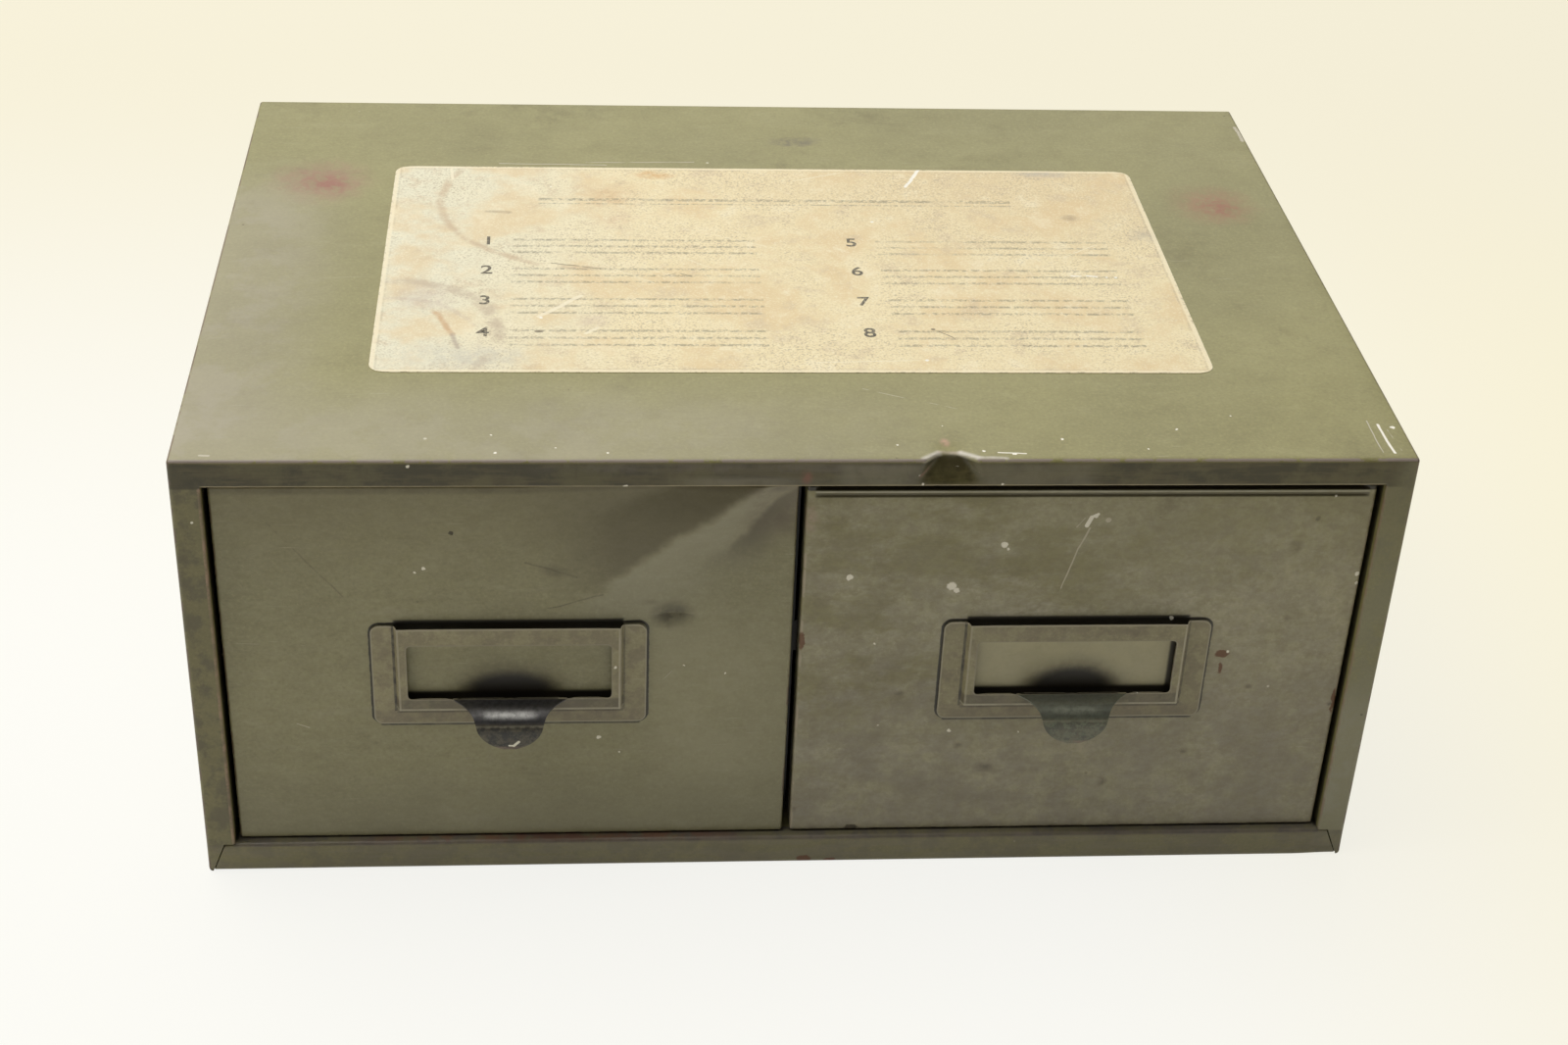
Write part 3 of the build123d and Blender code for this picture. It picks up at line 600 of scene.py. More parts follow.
@dataclass
class CaseShell:
    """Top, sides, rims and hems, folded from one sheet, in millimetres."""

    half: float = 180.0
    height: float = TOP_Z
    front: float = RIM_Y
    back: float = 130.85
    bend: float = 1.2
    rim_top: float = 9.0
    rim_side: float = 8.8
    rim_bottom: float = 10.4
    opening_bend: float = 0.8
    lip: float = 8.0
    hem: float = 12.0
    seam_top: float = 5.4
    seam_foot: float = 1.4
    sheet: float = 1.0
    notch_reach: float = 21.0
    step_hem: float = 3.6
    step_side: float = 3.0
    step_side_rim: float = 1.3
    step_top: float = 5.0
    step_notch: float = 0.7
    step_run: float = 7.0
    step_behind_rim: float = 1.0
    step_rim: float = 0.65
    step_lip: float = 1.8

    def side_inset(self, inset: np.ndarray) -> np.ndarray:
        """Width of the side rim at an inset of the top rim: equal over the fold, then a little less."""
        share = (self.rim_side - self.bend) / (self.rim_top - self.bend)
        return np.where(inset < self.bend, inset, self.bend + (inset - self.bend) * share)

    def section(self) -> tuple[np.ndarray, np.ndarray, np.ndarray, np.ndarray]:
        """Stations round the section from the left hem to the right one.

        Returns:
            Distance from the side, depth below the top, angle of the top fold (-1 where there is none) and
            the side, -1 or 1, of each station. A station on the top has its distance from the nearer side.
        """
        fold = quarter()
        hem = stations(self.bend, self.hem, self.step_hem)[::-1]
        foot = fold[::-1]
        seam_depth = self.height - self.rim_bottom
        side = stations(self.bend, self.height - self.bend, self.step_side, seam_depth,
                        np.arange(seam_depth, self.height - self.bend, self.step_side_rim))[::-1]
        roll = fold[1:-1]
        notch = np.arange(-self.notch_reach, self.notch_reach + 0.5, self.step_notch)
        half_top = stations(-self.half + self.bend, self.half - self.bend, self.step_top,
                            DAMAGE.notch_x + notch)
        turn = foot[1:-1]
        left = np.concatenate([
            filled(hem, self.height, -1.0),
            filled(self.bend * (1 - np.cos(turn)), self.height - self.bend * (1 - np.sin(turn)), -1.0),
            filled(0.0, side, -1.0), filled(0.0, 0.0, roll)], axis=1)
        top = filled(self.half - np.abs(half_top), 0.0, -1.0)
        values = np.concatenate([left, top, left[:, ::-1]], axis=1)
        ends = np.ones(left.shape[1])
        return *values, np.concatenate([-ends, np.where(half_top < 0, -1.0, 1.0), ends])

    def rows(self) -> tuple[np.ndarray, np.ndarray]:
        """Inset and depth of each row: forward, round the front fold, in over the rim and back.

        Returns:
            The insets and the depths.
        """
        fold = quarter()[1:]
        bend, small = self.bend, self.opening_bend
        seam = bend + (self.seam_top - bend) * (self.rim_top - bend) / (self.rim_side - bend)
        run = stations(self.front + bend, self.back, self.step_run,
                       self.front + np.arange(2.2, 20.0, self.step_behind_rim))[::-1]
        rim = stations(bend, self.rim_top - small, self.step_rim, seam)[1:]
        lip = stations(self.front + small, self.front + self.lip, self.step_lip)[1:]
        rows = np.concatenate([
            filled(0.0, run), filled(bend * (1 - np.cos(fold)), self.front + bend * (1 - np.sin(fold))),
            filled(rim, self.front),
            filled(self.rim_top - small * (1 - np.sin(fold)), self.front + small * (1 - np.cos(fold))),
            filled(self.rim_top, lip)], axis=1)
        return rows[0], rows[1]

    def surface(self) -> Surface:
        """The outer side of the sheet.

        A side station keeps its share of the height between the inset top and the seam's height, a top
        station its share of the width between the inset sides, and the fold's stations close in on the corner
        as the inset grows. Below the seam's height the rim narrows to the seam's slanting line.

        Returns:
            The sheet of quads.
        """
        from_side, below_top, roll, hand = (value[None, :] for value in self.section())
        inset, depth = (value[:, None] for value in self.rows())
        side = self.side_inset(inset)
        seam_depth = self.height - self.rim_bottom
        on_top = (below_top == 0.0) & (roll < 0.0)
        on_roll = roll >= 0.0
        low = below_top > seam_depth + 1e-6
        held_top = np.maximum(inset, self.bend)
        held_side = np.maximum(side, self.bend)
        side_down = seam_depth - (seam_depth - below_top) * (seam_depth - held_top) / (seam_depth - self.bend)
        top_in = self.half - (self.half - from_side) * (self.half - held_side) / (self.half - self.bend)
        shrink = np.maximum(self.bend - inset, 0.0)
        slant = (self.height - below_top) / self.rim_bottom
        seam_width = self.seam_foot + (self.seam_top - self.seam_foot) * slant
        low_in = from_side + side / self.seam_top * (seam_width - from_side)
        away = np.where(on_roll, held_side - shrink * np.cos(roll), side + from_side)
        away = np.where(on_top, top_in, away)
        down = np.where(on_top, inset, np.where(on_roll, held_top - shrink * np.sin(roll), side_down))
        away = np.where(low, low_in, away)
        down = np.where(low, below_top, down)
        x = hand * (self.half - away)
        behind = depth - self.front + 0.0 * x
        push = DAMAGE.rim_push(x, down, behind)
        on_rim = inset + 0.0 * x
        y = depth + push
        dip = DAMAGE.notch_dip * push * ease(1.0 - on_rim / DAMAGE.notch_rim)
        z = self.height - down - dip
        z = z + DAMAGE.foot_lift(x, z, behind)
        grid = np.stack([x, y, z], axis=-1)
        hem = low & (from_side >= self.bend - 1e-6)
        below = low | (np.abs(below_top - seam_depth) < 1e-6)
        hem_quads = (hem[:, :-1] & hem[:, 1:]) & (inset[1:] > 1e-9)
        seam_quads = (below[:, :-1] & below[:, 1:]) & (side[1:] > self.seam_top + 1e-6)
        return Surface.from_grid(grid, ~(hem_quads | seam_quads), flip=True)

    def build(self, material: bpy.types.Material) -> None:
        """Makes the shell and dresses it."""
        shell = make_piece("case_sheet", self.surface(), self.sheet)
        dress(shell, material, "case", "olive_enamel", "case_shell")


@dataclass
class BasePan:
    """Floor of the case with the bottom rim in front of it, in millimetres."""

    opening_half: float = 171.2
    side_half: float = 178.8
    front: float = RIM_Y
    back: float = 130.65
    top: float = 10.4
    bend: float = 1.2
    seam_drop: float = 0.3
    seam_half: float = 174.3
    foot_half: float = 178.3
    return_half: float = 167.7
    return_length: float = 12.0
    side_start: float = -119.85
    flange_foot: float = 1.0
    tab_y: tuple[float, ...] = (-75.15, 4.85, 84.85)
    tab_half: tuple[float, float] = (0.7, 9.9)
    sheet: float = 1.0
    corner_run: float = 13.0
    step_floor: float = 7.0
    step_rim: float = 1.0
    step_under: float = 3.6
    step_across: float = 6.0
    step_corner: float = 1.5
    step_wing: float = 0.34
    step_flange: float = 3.1
    step_return: float = 4.0

    def rows(self) -> np.ndarray:
        """Depth, height and outer half width of each row, from the floor's back to the end of the return.

        Returns:
            The depths, heights and half widths.
        """
        bend, front = self.bend, self.front
        rise, fall = bend * (1 - np.sin(quarter()[1:])), bend * (1 - np.cos(quarter()[1:]))
        tabs = np.array([y + hand * self.tab_half[1] for y in self.tab_y for hand in (-1, 1)])
        floor = stations(front + bend, self.back, self.step_floor, self.side_start, tabs)[::-1]
        rim = stations(bend, self.top - bend, self.step_rim)[::-1][1:]
        run = stations(front + bend, front + self.return_length, self.step_under)[1:]
        depth, height = np.concatenate([
            filled(floor, self.top), filled(front + rise, self.top - fall), filled(front, rim),
            filled(front + fall, rise), filled(run, 0.0)], axis=1)
        seam = self.top - self.seam_drop
        slant = self.foot_half + (self.seam_half - self.foot_half) * np.clip(height / seam, 0.0, 1.0)
        outer = np.where(depth > self.side_start - 1e-6, self.side_half, slant)
        outer[-len(run):] = self.return_half
        return np.stack([depth, height, outer])

    def surface(self) -> Surface:
        """Floor, front rim and return as one run of rows, with flanges down at the sides and back.

        Beyond the opening a place across is the opening's half width plus a share of the way on to the row's
        outer half width. The quads over the tabs' holes and beyond the steps are left out.

        Returns:
            The sheet of quads.
        """
        depth, height, outer = (value[:, None] for value in self.rows())
        inner = stations(-self.opening_half, self.opening_half, self.step_across, -self.return_half,
                         self.return_half, -self.tab_half[0], self.tab_half[0],
                         np.arange(163.0, 171.0, self.step_corner))
        wing = stations(0.0, 1.0, self.step_wing)[1:]
        edge = np.concatenate([-self.opening_half - wing[::-1], inner, self.opening_half + wing])[None, :]
        beyond = np.clip(np.abs(edge) - self.opening_half, 0.0, 1.0)
        wide = self.opening_half + beyond * np.maximum(outer - self.opening_half, 0.0)
        x = np.where(beyond > 0.0, np.sign(edge) * wide, edge)
        z = height + 0.0 * x
        lift = DAMAGE.foot_lift(x, np.minimum(z, DAMAGE.corner_high), depth - self.front)
        z = z + lift * (depth < self.front + self.corner_run)
        grid = np.stack([x, depth + 0.0 * x, z], axis=-1)
        middle = 0.5 * (edge[:, 1:] + edge[:, :-1])
        row_depth = 0.5 * (depth[1:] + depth[:-1])
        row_height = 0.5 * (height[1:] + height[:-1])
        wings = np.abs(middle) > self.opening_half
        in_step = (row_depth < self.side_start) & (row_height > self.top - self.seam_drop)
        in_return = (row_height < 1e-6) & (row_depth > self.front + self.bend)
        narrow = in_return & (np.abs(middle) > self.return_half)
        tab = np.zeros_like(row_depth + middle, dtype=bool)
        for y in self.tab_y:
            tab |= ((np.abs(row_depth - y) < self.tab_half[1]) & (np.abs(middle) < self.tab_half[0])
                    & (row_height > self.top - 1e-6))
        sheet = Surface.from_grid(grid, ~((wings & in_step) | narrow | tab), flip=True)
        return sheet.joined(*self.flanges(depth.ravel(), height.ravel(), grid[0, :, 0]))

    def flanges(self, depth: np.ndarray, height: np.ndarray, columns: np.ndarray) -> list[Surface]:
        """The sheets that hang down from the floor at its sides and back, with the return under the back.

        Args:
            depth: depth of each row.
            height: height of each row.
            columns: places across of the floor's columns.

        Returns:
            The sheets.
        """
        rows = depth[(height > self.top - 1e-6) & (depth > self.side_start - 1e-6)]
        foot = self.top - self.flange_foot
        drop = stations(0.0, foot, self.step_flange)
        sides = [Surface.flat((hand * self.side_half, 0.0, self.top), BACK, DOWN, rows[::hand], drop)
                 for hand in (-1, 1)]
        down = stations(0.0, self.top, self.step_flange, foot)
        kept = columns[np.abs(columns) < self.return_half + 1e-6]
        under = stations(0.0, self.return_length, self.step_return)
        return [*sides,
                Surface.flat((0.0, self.back, self.top), RIGHT, DOWN, columns, down[down < foot + 1e-6]),
                Surface.flat((0.0, self.back, self.top), RIGHT, DOWN, kept, down[down > foot - 1e-6]),
                Surface.flat((0.0, self.back, 0.0), RIGHT, FORWARD, kept, under)]

    def build(self, material: bpy.types.Material) -> None:
        """Makes the pan and dresses it."""
        pan = make_piece("floor_pan", self.surface(), self.sheet)
        dress(pan, material, "case", "olive_enamel", "base_pan")


class Side(Enum):
    """Which drawer a piece belongs to; the value is its direction from the middle."""

    LEFT = -1
    RIGHT = 1

    @property
    def word(self) -> str:
        """The side as it stands in the names of nodes and bodies."""
        return self.name.lower()


@dataclass
class DrawerFront:
    """Face of a drawer with its folded edges, in millimetres."""

    side: Side
    centre_offset: float = DRAWER_X
    half: float = 84.3
    bottom: float = 10.8
    top: float = 139.3
    face: float = FACE_Y
    bend: float = 1.0
    depth: float = 9.0
    sheet: float = 0.9
    fan_turns: tuple[float, ...] = (-20.0, 15.0, 23.0, 36.2, 45.7, 78.0)
    fan_rise: tuple[float, ...] = (0.0, 0.045, 0.060, -0.010, 0.050, 0.0)
    fan_shifts: tuple[float, ...] = (-1.2, -0.6, 0.0, 0.6, 1.2)
    fan_grip: float = 48.0
    fan_starts: tuple[float, float] = (33.0, 14.0)
    fan_ends: tuple[float, float] = (118.0, 50.0)
    fan_columns: Span = (-78.0, -3.2, 1.1)
    fan_rows: Span = (97.5, 137.5, 1.1)
    punch_rows: Span = (86.5, 96.5, 0.45)
    punch_x: float = -36.5
    punch_top: float = 94.1
    punch_half: float = 7.6
    punch_depth: float = 1.05
    punch_lean: float = 0.02
    punch_drop: float = 0.6
    punch_rise: float = 4.4
    bead_height: float = 2.1
    bead_depth: float = 1.5
    bead_edge: float = 0.9
    bead_short: float = 2.2
    bead_end: float = 1.6
    groove_below: float = 3.5
    groove_depth: float = 0.40
    step: float = 3.0
    step_back: float = 2.0
    dent_fade: float = 6.0

    @property
    def centre(self) -> float:
        """Where the drawer's middle lies across the chest."""
        return self.side.value * self.centre_offset

    def dent(self, x: np.ndarray, z: np.ndarray) -> np.ndarray:
        """How far the face stands behind its plane, from the blows of its side.

        Args:
            x: places across the chest.
            z: heights.

        Returns:
            Depth of the dent, negative where the sheet bulges.
        """
        return self.fan_dent(x, z) if self.side is Side.LEFT else self.pressed_bead(x, z)

    def fan_dent(self, x: np.ndarray, z: np.ndarray) -> np.ndarray:
        """A blow at the inner top corner, whose flats fan out from it, and a punch mark below.

        In polar form about the corner the depth is a polyline of the angle, rounded by taking its mean over a
        few degrees, times a grip that fades with the distance. The punch mark drops in at a level line and
        rises again below it, inside an oval.

        Args:
            x: places across the chest.
            z: heights.

        Returns:
            Depth of the dent.
        """
        across = BLOW[0] - x
        down = BLOW[1] - z
        reach = np.hypot(across, down)
        angle = np.degrees(np.arctan2(down, across))
        fan = sum(np.interp(angle + shift, self.fan_turns, self.fan_rise) for shift in self.fan_shifts)
        (start, rise), (end, fall) = self.fan_starts, self.fan_ends
        grip = self.fan_grip * ease((end - reach) / fall) * ease((reach - start) / rise)
        beside = x - self.punch_x
        below = self.punch_top - z - self.punch_lean * np.abs(beside)
        risen = np.clip(1.0 - (below - self.punch_drop) / self.punch_rise, 0.0, 1.0)
        drop = np.where(below < self.punch_drop, ease(below / self.punch_drop), risen)
        oval = np.clip(1.0 - (beside / self.punch_half) ** 2, 0.0, 1.0)
        return fan / len(self.fan_shifts) * grip + self.punch_depth * drop * oval

    def pressed_bead(self, x: np.ndarray, z: np.ndarray) -> np.ndarray:
        """A strip along the top edge set back behind an eased step, with a fine groove below it.

        Args:
            x: places across the chest.
            z: heights.

        Returns:
            Depth of the strip and groove, which stop short of both ends.
        """
        ends = ease((self.half - self.bead_short - np.abs(x - self.centre)) / self.bead_end)
        step = self.bead_depth * ease((z - self.top + self.bead_height) / self.bead_edge)
        groove = self.groove_depth * ease(1.0 - np.abs(z - self.top + self.groove_below) / self.bead_edge)
        return ends * (step + groove)

    def columns(self) -> np.ndarray:
        """Places across the flat of the face.

        Returns:
            The places, from the left.
        """
        fine = np.arange(*self.fan_columns) - self.centre if self.side is Side.LEFT else np.empty(0)
        ends = np.arange(self.half - 8.0, self.half - self.bend - 0.2, 0.8)
        return self.centre + stations(-self.half + self.bend, self.half - self.bend, self.step, fine, ends,
                                      -ends)

    def heights(self) -> np.ndarray:
        """Places up the flat of the face, close together where the face is bent.

        Returns:
            The places, from the bottom.
        """
        if self.side is Side.LEFT:
            fine = np.concatenate([np.arange(*self.punch_rows), np.arange(*self.fan_rows)])
        else:
            fine = np.arange(self.top - 6.1, self.top - self.bend - 0.05, 0.22)
        return stations(self.bottom + self.bend, self.top - self.bend, self.step, fine)

    def surface(self) -> Surface:
        """The flat with its dents, and round it a strip: a quarter round of the bend, then the returns.

        A point of the strip is the flat's border point plus the outward direction times the bend's radius
        times the sine of the fold's angle, and set back by the radius times one less its cosine. At a corner
        the outward direction turns through a right angle.

        Returns:
            The sheet of quads.
        """
        columns, heights = self.columns(), self.heights()
        x, z = np.meshgrid(columns, heights)
        flat = np.stack([x, np.full_like(x, self.face), z], axis=-1)
        turn = quarter()
        left, right, low, high = columns[0], columns[-1], heights[0], heights[-1]
        right_angle = math.pi / 2
        sides = [filled(left, heights, math.pi), filled(left, high, math.pi - turn),
                 filled(columns, high, right_angle), filled(right, high, right_angle - turn),
                 filled(right, heights[::-1], 0.0), filled(right, low, -turn),
                 filled(columns[::-1], low, -right_angle), filled(left, low, -right_angle - turn)]
        border_x, border_z, angle = np.concatenate(sides, axis=1)
        folded = np.arange(len(border_x)) < sum(side.shape[1] for side in sides[:5])
        run = stations(self.bend, self.depth, self.step_back)[1:]
        out = np.concatenate([self.bend * np.sin(turn), np.full_like(run, self.bend)])[:, None]
        back = np.concatenate([self.bend * (1 - np.cos(turn)), run])[:, None]
        strip = np.stack([border_x + out * np.cos(angle), self.face + back + 0.0 * border_x,
                          border_z + out * np.sin(angle)], axis=-1)
        keep = np.ones((strip.shape[0] - 1, strip.shape[1] - 1), dtype=bool)
        keep[len(turn) - 1:] = (folded[1:] & folded[:-1])[None, :]
        for grid in (flat, strip):
            near = ease(1.0 - (grid[..., 1] - self.face - self.bend) / self.dent_fade)
            grid[..., 1] += near * self.dent(grid[..., 0], grid[..., 2])
        return Surface.from_grid(flat).joined(Surface.from_grid(strip, keep))

    def build(self, material: bpy.types.Material) -> None:
        """Makes the front and dresses it."""
        piece = make_piece(f"{self.side.word}_face", self.surface(), self.sheet)
        dress(piece, material, f"{self.side.word}_drawer", "drawer_enamel", f"{self.side.word}_drawer_front")


@dataclass
class PullPlate:
    """Label holder and finger pull, pressed from one sheet, in millimetres."""

    side: Side
    centre_offset: float = DRAWER_X
    face: float = FACE_Y
    sheet: float = 0.9
    half: float = 40.85
    bottom: float = 55.4
    top: float = 91.2
    corner: float = 2.7
    pocket_half: float = 34.0
    pocket_bottom: float = 60.6
    pocket_raise: float = 2.0
    wall_run: float = 1.0
    window_half: float = 30.4
    window_bottom: float = 65.7
    window_top: float = 85.2
    window_corner: float = 1.4
    root_half: float = 17.0
    neck_half: float = 10.2
    flare_run: float = 9.0
    flare_power: float = 1.4
    shelf: float = 3.0
    tongue_bend: float = 6.5
    drop: float = 5.2
    tip_round: float = 9.6
    tip_flat: float = 0.016
    tip_turn: float = 0.30
    step_across: float = 2.4
    step_up: float = 2.2
    bend_steps: int = 12
    pull_columns: int = 25

    @property
    def centre(self) -> float:
        """Where the plate's middle lies across the chest."""
        return self.side.value * self.centre_offset

    @property
    def middle(self) -> float:
        """Height of the plate's middle."""
        return 0.5 * (self.bottom + self.top)

    @property
    def half_high(self) -> float:
        """Half of the plate's height."""
        return 0.5 * (self.top - self.bottom)

    def across(self, half: float, soft: float) -> Span:
        """A span over the plate's middle, with a soft edge."""
        return (self.centre - half, self.centre + half, soft)

    def raised(self, x: np.ndarray, z: np.ndarray) -> np.ndarray:
        """Height of the plate's outer side over the face: the sheet, plus the pocket behind eased walls.

        Args:
            x: places from the plate's middle.
            z: heights.

        Returns:
            Distance in front of the drawer's face.
        """
        side = ease((self.pocket_half - np.abs(x)) / self.wall_run)
        low = ease((z - self.pocket_bottom) / self.wall_run)
        return self.sheet + self.pocket_raise * side * low

    def plate(self) -> Surface:
        """The plate with rounded corners, its pocket and its window.

        Points outside a rounded corner's centre are drawn in towards it, so that the grid's square corner
        becomes its arc. The window is left out of the faces, and its corner points are moved onto its arcs.

        Returns:
            The sheet of quads.
        """
        steps = np.linspace(0.0, self.wall_run, 6)
        rounds = np.array([0.0, 0.35, 0.9, self.window_corner])
        corner = self.corner * np.linspace(0.0, 1.0, 5)
        across = stations(0.0, self.half, self.step_across, self.pocket_half - steps,
                          self.window_half - rounds, self.half - corner, self.root_half)
        x_places = np.unique(np.concatenate([-across, across]))
        z_places = stations(self.bottom, self.top, self.step_up, self.pocket_bottom + steps,
                            self.window_bottom + rounds, self.window_top - rounds,
                            self.bottom + corner, self.top - corner)
        x, z = np.meshgrid(x_places, z_places)
        middle_x = 0.5 * (x[1:, 1:] + x[:-1, :-1])
        middle_z = 0.5 * (z[1:, 1:] + z[:-1, :-1])
        hole = ((np.abs(middle_x) < self.window_half) & (middle_z > self.window_bottom)
                & (middle_z < self.window_top))
        height = self.raised(x, z)
        x, z = self.rounded(x, z, self.half, self.bottom, self.top, self.corner, outer=True)
        x, z = self.rounded(x, z, self.window_half, self.window_bottom, self.window_top, self.window_corner)
        grid = np.stack([self.centre + x, self.face - height, z], axis=-1)
        return Surface.from_grid(grid, ~hole)

    @staticmethod
    def rounded(x: np.ndarray, z: np.ndarray, half: float, low: float, high: float, radius: float,
                outer: bool = False) -> tuple[np.ndarray, np.ndarray]:
        """Moves a grid's points so that a rectangle's corners become arcs.

        In a corner square, a point is put at the larger of its two offsets from the arc's centre. For an
        inner corner only the points on the rectangle's border move.

        Args:
            x: places from the middle.
            z: heights.
            half: half width of the rectangle.
            low: its bottom.
            high: its top.
            radius: radius of its corners.
            outer: whether the rectangle is the sheet's own edge.

        Returns:
            The moved places.
        """
        side = np.sign(x)
        over = z > 0.5 * (low + high)
        centre_x = side * (half - radius)
        centre_z = np.where(over, high - radius, low + radius)
        off_x = np.abs(x) - (half - radius)
        off_z = np.where(over, z - centre_z, centre_z - z)
        inside = (off_x > 0) & (off_z > 0) & (off_x < radius + 1e-6) & (off_z < radius + 1e-6)
        if not outer:
            on_border = (np.abs(off_x - radius) < 1e-6) | (np.abs(off_z - radius) < 1e-6)
            inside = inside & on_border
        far = np.maximum(off_x, off_z)
        scale = np.where(inside, far / np.maximum(np.hypot(off_x, off_z), 1e-9), 1.0)
        new_x = np.where(inside, centre_x + side * off_x * scale, x)
        new_z = np.where(inside, centre_z + np.where(over, 1.0, -1.0) * off_z * scale, z)
        return new_x, new_z

    def tongue(self) -> Surface:
        """The pull: a shelf, a quarter round and a drop, carried along a width that narrows from root to tip.

        The half width falls from the root's to the neck's as a power of the distance left of the flare, and
        over the last stretch it shrinks as a half ellipse to the tip.

        Returns:
            The sheet of quads.
        """
        bend = quarter(self.bend_steps)
        inner = np.linspace(-0.5, self.shelf, 8)
        steepest = math.acos(1.0 - self.drop / self.tip_round)
        turns = np.linspace(steepest, self.tip_turn, self.bend_steps)[1:]
        drop = np.append(self.drop - self.tip_round * (1.0 - np.cos(turns)), self.drop)
        out = np.concatenate([inner, self.shelf + self.tongue_bend * np.sin(bend[1:]),
                              np.full_like(drop, self.shelf + self.tongue_bend)])
        down = np.concatenate([np.zeros_like(inner), self.tongue_bend * (1 - np.cos(bend[1:])),
                               self.tongue_bend + drop])
        flare = self.root_half - self.neck_half
        share = np.clip(out / self.flare_run, 0.0, 1.0)
        half = self.neck_half + flare * (1.0 - share) ** self.flare_power
        left = np.maximum(self.tongue_bend + self.drop - down, 0.0)
        rise = np.clip(left / self.tip_round, self.tip_flat, 1.0)
        half = half * np.sqrt(1 - (1 - rise) ** 2)
        x = np.linspace(-1.0, 1.0, self.pull_columns)[None, :] * half[:, None]
        front = self.face - self.sheet - self.pocket_raise
        grid = np.stack([self.centre + x, front - out[:, None] + 0.0 * x,
                         self.window_bottom - down[:, None] + 0.0 * x], axis=-1)
        return Surface.from_grid(grid, flip=True)

    def build(self, material: bpy.types.Material) -> None:
        """Makes the plate with its tongue and dresses it."""
        piece = make_piece(f"{self.side.word}_label_holder", self.plate().joined(self.tongue()), self.sheet)
        dress(piece, material, f"{self.side.word}_drawer", "drawer_enamel", f"{self.side.word}_pull_plate")


@dataclass
class TopLabel:
    """Printed label stuck on the top, in millimetres."""

    left: float = -127.4
    right: float = 130.2
    front: float = -70.25
    back: float = 75.95
    corner: float = 5.0
    base: float = TOP_Z
    height: float = LABEL_Z
    print_height: float = 149.5
    number_rows: int = 4
    number_x: tuple[float, float] = (-92.0, 28.0)
    number_y: float = 15.4
    number_step: float = 21.0
    number_size: float = 8.2
    number_bold: float = 0.12
    step_rows: float = 6.0
    step_share: float = 0.05

    def surface(self) -> Surface:
        """The label with rounded corners: each row's ends follow the corner arcs.

        With n the row's distance from the nearer end over the corner's radius, a row is shorter at each end
        by the radius times one less the root of one less the square of one less n.

        Returns:
            The sheet of quads.
        """
        corner = self.corner * np.linspace(0.0, 1.0, 7)
        rows = stations(self.front, self.back, self.step_rows, self.front + corner, self.back - corner)
        near = np.clip(np.minimum(rows - self.front, self.back - rows) / self.corner, 0.0, 1.0)
        pull = self.corner * (1 - np.sqrt(np.maximum(0.0, 1 - (1 - near) ** 2)))
        share = stations(-1.0, 1.0, self.step_share)[None, :]
        middle = 0.5 * (self.left + self.right)
        x = middle + share * (0.5 * (self.right - self.left) - pull)[:, None]
        grid = np.stack([x, rows[:, None] + 0.0 * x, np.full_like(x, self.height)], axis=-1)
        return Surface.from_grid(grid)

    def build(self, material: bpy.types.Material) -> None:
        """Makes the label and dresses it."""
        label = make_piece("top_sheet_label", self.surface(), self.height - self.base)
        dress(label, material, "case", "cream_label", "top_label")

    def numerals(self, material: bpy.types.Material) -> None:
        """Prints the plain numbers of the blocks on the label: flat figures, two columns read downwards.

        Args:
            material: the material of the figures.
        """
        scene = bpy.context.scene
        work = bmesh.new()
        for number in range(2 * self.number_rows):
            column, row = divmod(number, self.number_rows)
            text = bpy.data.curves.new("figure", "FONT")
            text.body = str(number + 1)
            text.size = self.number_size * MM
            text.offset = self.number_bold * MM
            text.align_x = "RIGHT"
            figure = bpy.data.objects.new("figure", text)
            scene.collection.objects.link(figure)
            bpy.context.view_layer.update()
            shape = figure.evaluated_get(bpy.context.evaluated_depsgraph_get())
            mesh = bpy.data.meshes.new_from_object(shape)
            place = (self.number_x[column], self.number_y - row * self.number_step, self.print_height)
            mesh.transform(Matrix.Translation(Vector(place) * MM))
            work.from_mesh(mesh)
            bpy.data.meshes.remove(mesh)
            bpy.data.objects.remove(figure)
            bpy.data.curves.remove(text)
        finished = bpy.data.meshes.new("label_figures")
        work.to_mesh(finished)
        work.free()
        piece = bpy.data.objects.new("label_figures", finished)
        scene.collection.objects.link(piece)
        dress(piece, material, "case", "cream_label")


@dataclass(frozen=True)
class Mark:
    """A mark on the paint: a spot at one place, or a line when it has an end, in millimetres."""

    place: Place
    size: float
    end: Place | None = None
    tall: float = 1.0

    def mask(self, graph: Graph, position: Socket, edge: float = 0.45) -> Socket:
        """The mark's mask: a line of its size in width, or an oval of its size in half width.

        Args:
            graph: the material's nodes.
            position: where the mark is read.
            edge: share of it that is soft.

        Returns:
            The mask.
        """
        start = tuple(value * MM for value in self.place)
        if self.end is not None:
            return graph.line(position, start, tuple(value * MM for value in self.end), self.size * MM, edge)
        reach = self.size * MM
        return graph.spot(position, start, (reach, reach * self.tall, reach * self.tall), edge)


